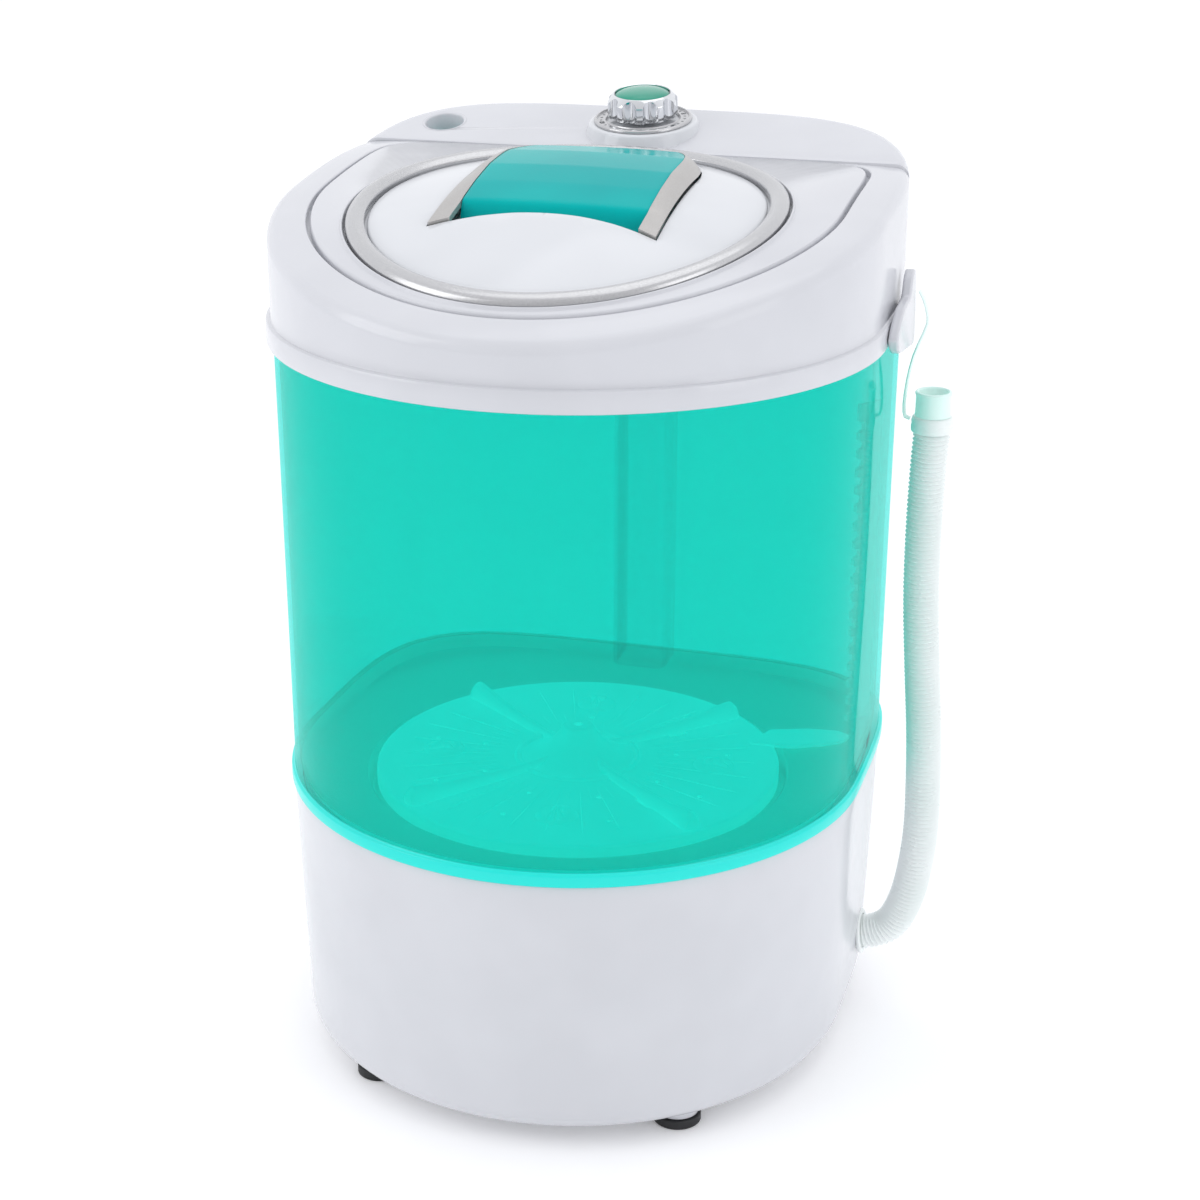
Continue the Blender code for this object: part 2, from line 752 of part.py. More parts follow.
def make_hose():
    hose = rod("drain_hose", smooth_route(HOSE_ROUTE, HOSE_POINTS), HOSE_RADIUS)
    keep(hose, HOSE)
    x, y, top = HOSE_ROUTE[-1]
    collar = turned(
        "hose_collar",
        [(0.0, CUFF_Z - GAP), (0.0108, CUFF_Z - GAP), (0.0118, CUFF_Z - 0.0020), (0.0118, COLLAR_Z + 0.0006),
         (0.0112, top + 3 * GAP), (0.0, top + 3 * GAP)],
        at=(x, y, 0.0), steps=20,
    )
    keep(collar, HOSE)
    cuff = turned(
        "hose_cuff",
        [(0.0, CUFF_Z + 0.0030), (0.0082, CUFF_Z + 0.0030), (0.0082, CUFF_TOP), (0.0098, CUFF_TOP),
         (0.0104, CUFF_TOP - 0.0015), (0.0098, CUFF_Z), (0.0, CUFF_Z)],
        at=(x, y, 0.0), steps=20,
    )
    keep(cuff, HOSE)


def make_hook():
    """The lug on the cover's lip, at the right rear, with the strap that holds the hose's end up."""
    points = [
        (0.0020, 0.4300), (0.0120, 0.4205), (0.0400, 0.4160), (0.0660, 0.4125), (0.0690, 0.4180),
        (0.0680, 0.4330), (0.0645, 0.4400), (0.0630, 0.4530), (0.0580, 0.4567), (0.0500, 0.4530),
        (0.0465, 0.4440), (0.0240, 0.4425), (0.0140, 0.4385),
    ]
    lug = outline("hook_bracket", points, 0.0, LUG_THICKNESS)
    lug.matrix_world = (
        Matrix.Translation((LUG_FACE, 0.0, 0.0))
        @ Matrix.Rotation(math.radians(91), 4, "Z")
        @ Matrix.Rotation(math.radians(90), 4, "X")
        @ Matrix.Translation((0.0, 0.0, LUG_THICKNESS / 2))
    )
    keep(lug, WHITE, smooth=0)
    strip = [(0.1783, 0.4440), (0.1822, 0.4360), (0.1838, 0.4272), (0.1808, 0.4180), (0.1768, 0.4078),
             (0.1740, 0.3940), (0.1727, 0.3793), (0.1732, 0.3722), (0.1766, 0.3708)]
    half = 0.0007
    outer = []
    inner = []
    for place, (x, z) in enumerate(strip):
        before = Vector(strip[max(place - 1, 0)])
        after = Vector(strip[min(place + 1, len(strip) - 1)])
        across = (after - before).normalized().orthogonal() * half
        outer.append((x + across.x, z + across.y))
        inner.append((x - across.x, z - across.y))
    strap = outline("hose_strap", outer + inner[::-1], 0.0, 0.0062)
    strap.matrix_world = (
        Matrix.Translation((0.0, 0.0586, 0.0))
        @ Matrix.Rotation(math.radians(90), 4, "X")
        @ Matrix.Translation((0.0, 0.0, -0.0031))
    )
    return keep(strap, HOSE, smooth=0)


# ---- Top cover ----


def make_top_cover():
    edge = COVER_RADIUS
    stations = [
        level(LIP_RADIUS, LIP_BOTTOM + 0.0120),
        level(LIP_RADIUS, LIP_BOTTOM + 0.0008),
        level(LIP_RADIUS - 0.0008, LIP_BOTTOM),
        level(TUB_RADIUS + 0.0010, LIP_BOTTOM),
        level(TUB_RADIUS + 0.0010, LIP_BOTTOM + 0.0080),
        level(edge - WALL - 0.0004, LIP_BOTTOM + 0.0105),
        shoulder_level(edge - WALL, 0.0130),
        shoulder_level(edge - 0.0060, 0.0078),
        deck_level(-0.0040, -0.0075),
        deck_level(0.0016, -0.0075),
        deck_level(0.0016, -0.0052),
        deck_level(-0.0022, -0.0052),
        deck_level(-0.0022, -0.0006),
        shoulder_level(edge - 0.0070, 0.0014),
        shoulder_level(edge - 0.0022, 0.0034),
        shoulder_level(edge, 0.0080),
        level(edge, LIP_BOTTOM + 0.0130),
    ]
    cover = lofted("top_cover", stations)
    behind = box("cover_back_cutter", (0.40, 0.10, 0.10), (0.0, PANEL_CREASE_Y + 0.0500, PANEL_BOTTOM - GAP + 0.05))
    cut(cover, keep_as_cutter(behind))
    return keep(cover, WHITE)


def make_inner_deck():
    """The deck inside the seam, with the raised lip and the sunk ledge that the lid rests on."""
    stations = [
        deck_level(0.0, -0.0008),
        deck_level(0.0, -0.0049),
        deck_level(0.0028, -0.0049),
        lid_level(RING_OUTER + 0.0018, -0.0068),
        lid_level(LID_HOLE + 0.0022, -0.0068),
        lid_level(LID_HOLE + 0.0020, -0.0150),
        lid_level(LID_HOLE, -0.0150),
        lid_level(LID_HOLE, -0.0042),
        lid_level(RING_OUTER + 0.0010, -0.0042),
        lid_level(RING_OUTER + 0.0011, 0.0018),
        lid_level(RING_OUTER + 0.0019, 0.0020),
        lid_level(RING_OUTER + 0.0026, 0.0),
        deck_level(0.0010, 0.0),
    ]
    return keep(lofted("inner_deck", stations), WHITE)


def make_control_panel():
    """The rear moulding: a hollow cap on the body's plan, cut off square at the crease."""
    def roof(radius, drop):
        def place(angle):
            x, y = body_plan(angle, radius)
            return x, y, panel_height(y) - drop
        return place
    edge = COVER_RADIUS
    deep = 0.1200
    outer = lofted(
        "control_panel",
        [roof(edge, deep), roof(edge, 0.0110), roof(edge - 0.0016, 0.0050), roof(edge - 0.0060, 0.0012),
         roof(edge - 0.0120, 0.0)],
        ring=False,
    )
    thin = WALL
    hollow = lofted(
        "panel_hollow_cutter",
        [roof(edge - thin, deep + 0.01), roof(edge - thin, 0.0120), roof(edge - 0.0065, 0.0045),
         roof(edge - 0.0130, thin)],
        ring=False,
    )
    front = box("panel_front_cutter", (0.40, 0.30, 0.20), (0.0, PANEL_CREASE_Y + GAP - 0.15, 0.48))
    under = box("panel_under_cutter", (0.40, 0.40, 0.20), (0.0, 0.0, PANEL_BOTTOM - 0.10))
    cut(outer, keep_as_cutter(hollow))
    cut(outer, keep_as_cutter(front))
    cut(outer, keep_as_cutter(under))
    hole = cylinder(
        "inlet_cutter", 0.0128, -0.02, 0.02, at=(INLET.x, INLET.y), steps=24, turn=(PANEL_TILT, 0.0, 0.0)
    )
    hole.location.z = panel_height(INLET.y)
    cut(outer, keep_as_cutter(hole))
    bore = cylinder("timer_bore_cutter", 0.0080, 0.49, 0.54, at=(KNOB_AXIS.x, KNOB_AXIS.y), steps=20)
    cut(outer, keep_as_cutter(bore))
    return keep(outer, WHITE)


def make_inlet():
    """The water inlet's funnel sleeve, open right through, with its rim on the panel."""
    place = Vector((INLET.x, INLET.y, panel_height(INLET.y)))
    sleeve = turned(
        "inlet_sleeve",
        [(0.0150, 0.0016), (0.0152, GAP + 0.0004), (0.0119, GAP + 0.0004), (0.0112, -0.0220),
         (0.0098, -0.0220), (0.0105, -0.0030), (0.0118, 0.0016)],
        at=place, tilt=PANEL_TILT, steps=24, ring=True,
    )
    return keep(sleeve, WHITE)


# ---- Timer ----


def make_timer():
    stack = Matrix.Translation(KNOB_AXIS) @ Matrix.Rotation(KNOB_TILT, 4, "X")
    seat = turned(
        "knob_seat",
        [(0.0, 0.0), (SEAT_RADIUS - 0.0035, 0.0), (SEAT_RADIUS - 0.0012, -0.0008), (SEAT_RADIUS, -0.0030),
         (SEAT_RADIUS + 0.0012, -0.0200), (0.0, -0.0200)],
        at=KNOB_AXIS, tilt=KNOB_TILT, steps=28,
    )
    under = box("seat_cutter", (0.10, 0.10, 0.04), (0.0, 0.0, 0.0), turn=(PANEL_TILT, 0.0, 0.0))
    below = Matrix.Rotation(PANEL_TILT, 4, "X") @ Vector((0.0, 0.0, -0.0200 + 0.0004))
    under.location = Vector((0.0, KNOB_AXIS.y, panel_height(KNOB_AXIS.y))) + below
    cut(seat, keep_as_cutter(under))
    bore = cylinder("seat_bore_cutter", 0.0060, -0.03, 0.01, steps=20)
    bore.matrix_world = stack @ Matrix.Translation((0.0, 0.0, -0.01))
    cut(seat, keep_as_cutter(bore))
    keep(seat, WHITE)
    ring = turned(
        "dial_ring",
        [(0.0285, 0.0004), (0.0215, 0.0004), (0.0215, 0.0022), (0.0275, 0.0022), (0.0285, 0.0014)],
        at=KNOB_AXIS, tilt=KNOB_TILT, steps=28, ring=True,
    )
    keep(ring, CHROME)
    body = box("timer_body", (0.046, 0.040, 0.024), (0.0, 0.0, 0.0))
    body.matrix_world = stack @ Matrix.Translation((0.0, 0.0, -0.0260))
    keep(body, GREY, smooth=0)
    shaft = turned(
        "timer_shaft", [(0.0, 0.0100), (0.0030, 0.0100), (0.0030, -0.0136), (0.0, -0.0136)],
        at=KNOB_AXIS, tilt=KNOB_TILT, steps=16,
    )
    keep(shaft, STEEL)
    knob = turned(
        "timer_knob",
        [(0.0, KNOB_HEIGHT - 0.0034), (0.0170, KNOB_HEIGHT - 0.0034), (0.0175, KNOB_HEIGHT),
         (0.0190, KNOB_HEIGHT), (KNOB_RADIUS - 0.0004, KNOB_HEIGHT - 0.0014), (KNOB_RADIUS, 0.0030),
         (0.0, 0.0030)],
        at=KNOB_AXIS, tilt=KNOB_TILT, steps=36,
    )
    socket = cylinder("knob_socket_cutter", 0.0032, -0.01, 0.0103, steps=16)
    socket.matrix_world = stack @ Matrix.Translation((0.0, 0.0, 0.00015))
    cut(knob, keep_as_cutter(socket))
    for flute in range(18):
        angle = 2 * math.pi * flute / 18
        groove = cylinder(f"flute_cutter_{flute + 1}", 0.0016, -0.01, 0.01, steps=8)
        offset = Matrix.Translation((math.cos(angle) * 0.0212, math.sin(angle) * 0.0212, 0.0050))
        groove.matrix_world = stack @ offset
        cut(knob, keep_as_cutter(groove))
    keep(knob, CHROME)
    cap = turned(
        "knob_cap",
        [(0.0, KNOB_HEIGHT + 0.0012), (0.0090, KNOB_HEIGHT + 0.0008), (0.0145, KNOB_HEIGHT - 0.0004),
         (0.0166, KNOB_HEIGHT - 0.0014), (0.0166, KNOB_HEIGHT - 0.0031), (0.0, KNOB_HEIGHT - 0.0031)],
        at=KNOB_AXIS, tilt=KNOB_TILT, steps=28,
    )
    keep(cap, GREEN)


# ---- Lid ----


def crown_height(radius):
    """The lid's domed surface above the deck, highest in the middle."""
    return 0.0006 + LID_CROWN * (1 - (radius / RING_INNER) ** 2)


def make_lid_disc():
    """The lid's white moulding: a domed skin, a flange on the deck's ledge, a plug and a finger well."""
    edge = RING_INNER - 0.0006
    inside = LID_PLUG - LID_SKIN
    disc = lofted(
        "lid_disc",
        [
            lid_level(0.0030, crown_height(0.0)), lid_level(0.0400, crown_height(0.0400)),
            lid_level(0.0700, crown_height(0.0700)), lid_level(0.0900, crown_height(0.0900)),
            lid_level(edge, 0.0006), lid_level(RING_INNER - 0.0003, -0.0012), lid_level(RING_OUTER, -0.0012),
            lid_level(RING_OUTER, -0.0038), lid_level(LID_PLUG, -0.0038), lid_level(LID_PLUG, -0.0140),
            lid_level(inside, -0.0140), lid_level(inside, -0.0040), lid_level(0.1000, crown_height(0.1000) - 0.0034),
            lid_level(0.0900, crown_height(0.0900) - LID_SKIN), lid_level(0.0700, crown_height(0.0700) - LID_SKIN),
            lid_level(0.0400, crown_height(0.0400) - LID_SKIN), lid_level(0.0030, crown_height(0.0) - LID_SKIN),
        ],
        ring=False,
    )
    cut(disc, keep_as_cutter(well_block("lid_well_body", LID_SKIN, WELL_FLOOR - LID_SKIN, 0.0015)), "UNION")
    cut(disc, keep_as_cutter(well_block("lid_well_cutter", 0.0, WELL_FLOOR, 0.0300)))
    return keep(disc, WHITE)


def well_block(name, grow, low, high):
    """The finger well's space, grown sideways by that much, between two heights above the deck."""
    front = WELL_FRONT - grow
    back = WELL_BACK + grow
    steps = 6
    sections = []
    for side in (-1, -0.5, 0, 0.5, 1):
        bow = 0.0170 * side * side
        line = [front - bow + (back - front + bow) * step / steps for step in range(steps + 1)]
        x = side * (WELL_HALF_WIDTH + grow)
        section = [on_lid(x, y, low) for y in line]
        section += [on_lid(x, y, high) for y in reversed(line)]
        sections.append(section)
    return through_sections(name, sections)


def grip_rise(y):
    """The grip's upper surface above the deck, an arch from its front fold to the ring."""
    for (start, low), (end, high) in zip(GRIP_RISE, GRIP_RISE[1:]):
        if y <= end:
            return low + (high - low) * max(y - start, 0.0) / (end - start)
    return GRIP_RISE[-1][1]


def grip_end(x):
    """Where the plate ends at the back, with round corners."""
    part = abs(x) / GRIP_HALF_WIDTH
    return GRIP_BACK - 0.0230 * part ** 4


def make_lid_handle():
    """The green grip plate, which bridges the finger well and is open towards the front."""
    steps = 10
    sections = []
    for column in range(13):
        x = GRIP_HALF_WIDTH * (column - 6) / 6
        line = [GRIP_FRONT + (grip_end(x) - GRIP_FRONT) * step / steps for step in range(steps + 1)]
        section = [on_lid(x, y, grip_rise(y)) for y in line]
        section += [on_lid(x, y, grip_rise(y) - GRIP_THICKNESS) for y in reversed(line)]
        sections.append(section)
    return keep(through_sections("lid_handle", sections), GREEN)


def make_lid_trims():
    """The band at each side of the plate, from the plate's edge down to the lid's dome."""
    steps = 10
    for name, side in (("handle_trim_left", -1), ("handle_trim_right", 1)):
        sections = []
        for step in range(steps + 1):
            y = -0.0300 + (grip_end(GRIP_HALF_WIDTH) + 0.0300) * step / steps
            near = side * (GRIP_HALF_WIDTH + GAP)
            far = side * (GRIP_HALF_WIDTH + BAND_WIDTH)
            floor_near = crown_height(math.hypot(near, y)) + GAP
            floor_far = crown_height(math.hypot(far, y)) + GAP
            sections.append([
                on_lid(near, y, floor_near), on_lid(near, y, max(grip_rise(y), floor_near + 0.0012)),
                on_lid(far, y, floor_far + 0.0010), on_lid(far, y, floor_far),
            ])
        keep(through_sections(name, sections), WARM_GREY)


def make_lid_ring():
    stations = [
        lid_level(RING_OUTER, -0.0008), lid_level(RING_INNER, -0.0008), lid_level(RING_INNER, 0.0018),
        lid_level(RING_INNER + 0.0015, 0.0036), lid_level(RING_INNER + 0.0045, 0.0048),
        lid_level(RING_OUTER - 0.0035, 0.0046), lid_level(RING_OUTER - 0.0008, 0.0030),
        lid_level(RING_OUTER, 0.0010),
    ]
    return keep(lofted("lid_ring", stations), SILVER)


def make_cord_gland():
    gland = cylinder("cord_gland", 0.0076, -0.009, 0.009, steps=20, turn=(math.radians(90), 0.0, 0.0))
    gland.location = CORD_GLAND
    return keep(gland, BLACK)


make_base()
make_base_plate()
make_feet()
make_base_screws()
make_tub()
make_tub_gasket()
make_rear_duct()
make_overflow_filter()
make_pulsator()
make_pulsator_screw()
make_drive_shaft()
make_bearings()
make_pulleys()
make_belt()
make_motor()
make_drain()
make_hose()
make_hook()
make_top_cover()
make_inner_deck()
make_control_panel()
make_inlet()
make_timer()
make_lid_disc()
make_lid_handle()
make_lid_trims()
make_lid_ring()
make_cord_gland()
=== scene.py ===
# %% [markdown]
# # A portable mini washer
# A small washing machine for a flat, a dormitory or a camper: one see-through tub stands on a white motor
# base, and a white cover with a sloping deck, a lift-off lid and a timer closes it. Everything here is built
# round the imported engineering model, which says where each piece is and what moves with what.

# %% Load the frame
import math

import bmesh
import bpy
from mathutils import Matrix, Vector


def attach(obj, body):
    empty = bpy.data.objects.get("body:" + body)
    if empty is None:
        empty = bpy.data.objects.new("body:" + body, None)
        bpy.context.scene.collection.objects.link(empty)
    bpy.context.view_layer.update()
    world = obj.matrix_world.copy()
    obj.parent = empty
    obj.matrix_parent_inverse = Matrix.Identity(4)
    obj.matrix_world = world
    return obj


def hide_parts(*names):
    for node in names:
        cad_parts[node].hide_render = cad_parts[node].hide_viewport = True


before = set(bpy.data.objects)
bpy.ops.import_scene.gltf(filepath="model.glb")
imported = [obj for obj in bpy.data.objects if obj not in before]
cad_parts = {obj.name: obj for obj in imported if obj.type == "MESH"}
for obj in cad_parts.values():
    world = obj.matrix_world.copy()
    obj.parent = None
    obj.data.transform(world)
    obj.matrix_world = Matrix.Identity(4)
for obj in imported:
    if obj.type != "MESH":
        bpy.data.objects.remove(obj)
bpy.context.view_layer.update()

# %% [markdown]
# ## The sizes that every piece shares
# These are the machine's own sizes in metres, with +Z up and the front towards -Y. The body's plan is round
# in front and squared off at the back. The deck and the lid lie on one curved slope that falls to the front,
# more steeply the further it goes.

# %% Shared sizes
BASE_RADIUS = 0.1655
TUB_JOINT = 0.1660
TUB_RADIUS = 0.1668
COVER_RADIUS = 0.1678
LIP_RADIUS = 0.1705
LIP_BOTTOM = 0.4240
DECK_AXIS = 0.4975
DECK_SLOPE = 0.130
DECK_BEND = 0.570
DECK_HALF_WIDTH = 0.1445
CREASE_Y = 0.1035
CREASE_Z = 0.5050
LID_Y = -0.0205
RING_INNER = 0.1080
LID_CROWN = 0.0114
WALL = 0.0026
SQUARENESS = 4.4
SEAM_SQUARENESS = 9
PANEL_TILT = math.radians(15.0)
KNOB_TILT = math.radians(8.0)
FINE = 144  # segments round the body
VANE_ANGLES = (50, 140, 230, 320)
HOSE_PORT = (0.0613, 0.0447)  # Y and Z of the hose where it leaves the base
KNOB_BACK = 0.1345  # Y of the timer's axis

KNOB_FRAME = Matrix.Translation((0.0, KNOB_BACK, 0.5180)) @ Matrix.Rotation(KNOB_TILT, 4, "X")
UPRIGHT = Matrix.Identity(4)


def deck_height(y):
    return DECK_AXIS + DECK_SLOPE * y - DECK_BEND * y * y


def on_lid(x, y, height):
    """A point from the lid's middle, above the deck's surface by that much."""
    return Vector((x, LID_Y + y, deck_height(LID_Y + y) + height))

# %% [markdown]
# ## The camera
# The machine is seen from a little to its right and from above. A long lens keeps the tub's sides nearly
# parallel. The camera looks at a point inside the tub. Colours are shown as they are, without a film curve,
# so that clean white plastic stays white.

# %% Camera
camera_data = bpy.data.cameras.new("camera")
camera_data.lens = 72.0
camera_data.sensor_width = 36.0
camera_data.shift_x = 0.0183
camera_data.shift_y = 0.0069
camera = bpy.data.objects.new("camera", camera_data)
bpy.context.scene.collection.objects.link(camera)
camera.location = (0.3666, -1.2376, 0.7482)
looks_at = Vector((0.0, 0.0, 0.26))
camera.rotation_euler = (looks_at - camera.location).to_track_quat("-Z", "Y").to_euler()
bpy.context.scene.camera = camera
bpy.context.scene.view_settings.view_transform = "Standard"
print("camera", round((looks_at - camera.location).length, 3), "m away")

# %% [markdown]
# ## How the pieces are modelled
# Nearly every moulding here is a skin that runs round an axis, so one way of working makes them all. A
# circle is extruded upwards into a tower with one ring for each line of the profile, the two ends are
# capped or bridged, and each ring is then laid on its own outline. The outline may be a circle, the body's
# plan or the deck's seam, which is how a round front passes into a squared back in one clean surface.

# %% Towers of rings


def pick(obj):
    """Selects this object alone and makes it the active one."""
    bpy.ops.object.select_all(action="DESELECT")
    obj.select_set(True)
    bpy.context.view_layer.objects.active = obj


def fresh(name):
    """The object that was just added, with its mesh, under that name."""
    obj = bpy.context.active_object
    obj.name = name
    obj.data.name = name
    return obj


def tidy_mesh(obj, angle=35.0):
    """Merges doubled points, turns every face outwards and shades smoothly up to that angle."""
    pick(obj)
    bpy.ops.object.mode_set(mode="EDIT")
    bpy.ops.mesh.select_all(action="SELECT")
    bpy.ops.mesh.remove_doubles(threshold=0.00001)
    bpy.ops.mesh.normals_make_consistent(inside=False)
    bpy.ops.object.mode_set(mode="OBJECT")
    bpy.ops.object.shade_smooth_by_angle(angle=math.radians(angle))
    return obj


def tower(name, rings, around=FINE, ends="bridge"):
    """A skin through rings, each a function from an angle to a point."""
    bpy.ops.object.select_all(action="DESELECT")
    bpy.ops.mesh.primitive_circle_add(vertices=around, radius=1.0)
    obj = fresh(name)
    bpy.ops.object.mode_set(mode="EDIT")
    bpy.ops.mesh.select_all(action="SELECT")
    for _ in rings[1:]:
        bpy.ops.mesh.extrude_region_move(TRANSFORM_OT_translate={"value": (0.0, 0.0, 1.0)})
    bpy.ops.mesh.select_all(action="DESELECT")
    bpy.ops.mesh.select_mode(type="EDGE")
    bpy.ops.mesh.select_non_manifold()
    if ends == "bridge":
        bpy.ops.mesh.bridge_edge_loops()
    else:
        bpy.ops.mesh.fill_holes(sides=0)
    bpy.ops.mesh.select_mode(type="VERT")
    bpy.ops.object.mode_set(mode="OBJECT")
    for point in obj.data.vertices:
        point.co = rings[round(point.co.z)](math.atan2(point.co.y, point.co.x))
    return tidy_mesh(obj)


# %% Outlines


def round_ring(radius, height, place=UPRIGHT):
    return lambda angle: place @ Vector((radius * math.cos(angle), radius * math.sin(angle), height))


def oval(angle, power):
    """How far out a squared circle's edge is, for a unit one, in that direction."""
    return (abs(math.cos(angle)) ** power + abs(math.sin(angle)) ** power) ** (-1 / power)


def body_ring(radius, height, squared=1.0):
    """A flat ring on the body's plan."""
    def at(angle):
        reach = radius
        if angle > 0:
            reach *= 1 + (oval(angle, SQUARENESS) - 1) * squared
        return Vector((reach * math.cos(angle), reach * math.sin(angle), height))
    return at


def shoulder_ring(radius, drop):
    """A ring on the body's plan that follows the deck, lower by that much."""
    def at(angle):
        point = body_ring(radius, 0.0)(angle)
        point.z = deck_height(point.y) - drop
        return point
    return at


def seam_ring(inset, height):
    """A ring on the deck's seam: round in front, straight at the sides and along the panel."""
    def at(angle):
        wide = DECK_HALF_WIDTH - inset
        deep = CREASE_Y - inset
        reach = wide
        if angle > 0:
            x, y = abs(math.cos(angle)) / wide, abs(math.sin(angle)) / deep
            reach = (x ** SEAM_SQUARENESS + y ** SEAM_SQUARENESS) ** (-1 / SEAM_SQUARENESS)
        x, y = reach * math.cos(angle), reach * math.sin(angle)
        return Vector((x, y, deck_height(y) + height))
    return at


def seat_ring(radius, height):
    """A ring round the lid's middle, on the deck's slope."""
    return lambda angle: on_lid(radius * math.cos(angle), radius * math.sin(angle), height)


def arc(centre, size, start, end, steps=6):
    """Points of a round corner in a profile, as pairs of radius and height."""
    found = []
    for step in range(steps + 1):
        angle = math.radians(start + (end - start) * step / steps)
        found.append((centre[0] + size[0] * math.cos(angle), centre[1] + size[1] * math.sin(angle)))
    return found


def lathe(name, profile, place=UPRIGHT, around=72, ends="bridge"):
    return tower(name, [round_ring(radius, height, place) for radius, height in profile], around, ends)


# %% Modifiers and cutters


def apply_all(obj):
    pick(obj)
    for modifier in list(obj.modifiers):
        bpy.ops.object.modifier_apply(modifier=modifier.name)
    return obj


def round_edges(obj, width, segments=2, angle=40.0):
    bevel = obj.modifiers.new("Round edges", "BEVEL")
    bevel.width = width
    bevel.segments = segments
    bevel.limit_method = "ANGLE"
    bevel.angle_limit = math.radians(angle)
    return tidy_mesh(apply_all(obj))


def carve(obj, cutter, operation="DIFFERENCE"):
    """Cuts one solid from another, or joins them, and removes the second."""
    boolean = obj.modifiers.new("Carve", "BOOLEAN")
    boolean.object = cutter
    boolean.operation = operation
    boolean.solver = "EXACT"
    apply_all(obj)
    bpy.data.objects.remove(cutter, do_unlink=True)
    return obj


def slab(name, outline, low, high, place=UPRIGHT):
    """A plate of any outline: a ring of points, filled and extruded to its thickness."""
    bpy.ops.object.select_all(action="DESELECT")
    bpy.ops.mesh.primitive_circle_add(vertices=len(outline), radius=1.0)
    obj = fresh(name)
    for point, (x, y) in zip(obj.data.vertices, outline):
        point.co = (x, y, low)
    bpy.ops.object.mode_set(mode="EDIT")
    bpy.ops.mesh.select_all(action="SELECT")
    bpy.ops.mesh.edge_face_add()
    bpy.ops.mesh.extrude_region_move(TRANSFORM_OT_translate={"value": (0.0, 0.0, high - low)})
    bpy.ops.object.mode_set(mode="OBJECT")
    obj.data.transform(place)
    return tidy_mesh(obj)


def block(name, size, centre, turn=UPRIGHT):
    bpy.ops.object.select_all(action="DESELECT")
    bpy.ops.mesh.primitive_cube_add(size=1.0)
    obj = fresh(name)
    obj.data.transform(Matrix.Translation(centre) @ turn @ Matrix.Diagonal((*size, 1.0)))
    return obj


def join(name, objects):
    bpy.ops.object.select_all(action="DESELECT")
    for obj in objects:
        obj.select_set(True)
    bpy.context.view_layer.objects.active = objects[0]
    bpy.ops.object.join()
    objects[0].name = name
    return objects[0]


def dress(obj, finish, body, slot, *replaced):
    """Gives a piece its finish, makes it move with its body and hides the rough nodes that it stands for."""
    obj.data.materials.clear()
    obj.data.materials.append(finish)
    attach(obj, body)
    if replaced:
        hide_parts(*replaced)
    print(obj.name, len(obj.data.polygons), "faces, on", body)
    return obj


# %% [markdown]
# ## Finishes
# Nearly all of the machine is injection-moulded plastic, so the finishes differ in gloss, in how much light
# passes through and in the fine orange-peel ripple that a polished mould leaves. Each starts from the real
# material's refractive index and gloss. Patterns are sized in millimetres on object coordinates.

# %% Colour and node helpers


def shade(code, alpha=1.0):
    """An sRGB hex colour as the linear values that a shader wants."""
    parts = [int(code[place:place + 2], 16) / 255 for place in (1, 3, 5)]
    linear = [part / 12.92 if part <= 0.04045 else ((part + 0.055) / 1.055) ** 2.4 for part in parts]
    return (*linear, alpha)


def add_node(tree, kind, settings=(), links=()):
    """Adds a node. A setting names a property or an input socket. A link names an input and its source."""
    node = tree.nodes.new(kind)
    for name, value in dict(settings).items():
        if hasattr(node, str(name)) and not isinstance(name, int) and name not in node.inputs:
            setattr(node, name, value)
        else:
            node.inputs[name].default_value = value
    for name, source in dict(links).items():
        tree.links.new(source, node.inputs[name])
    return node


def new_finish(name):
    finish = bpy.data.materials.new(name)
    finish.use_nodes = True
    finish.node_tree.nodes.clear()
    return finish, finish.node_tree


def rippled(tree, size_mm, depth_mm):
    """A fine ripple of that size and depth, as a normal."""
    place = add_node(tree, "ShaderNodeTexCoord")
    noise = add_node(tree, "ShaderNodeTexNoise", {"Scale": 1000.0 / size_mm, "Detail": 2.0},
                     {"Vector": place.outputs["Object"]})
    bump = add_node(tree, "ShaderNodeBump", {"Strength": 1.0, "Distance": depth_mm / 1000},
                    {"Height": noise.outputs["Fac"]})
    return bump.outputs["Normal"]


def worn_gloss(tree, size_mm, low, high):
    """Roughness that drifts between two values over that distance, as handling and cleaning leave it."""
    place = add_node(tree, "ShaderNodeTexCoord")
    noise = add_node(tree, "ShaderNodeTexNoise", {"Scale": 1000.0 / size_mm, "Detail": 3.0},
                     {"Vector": place.outputs["Object"]})
    spread = add_node(tree, "ShaderNodeMapRange",
                      {"From Min": 0.3, "From Max": 0.7, "To Min": low, "To Max": high},
                      {"Value": noise.outputs["Fac"]})
    return spread.outputs["Result"]


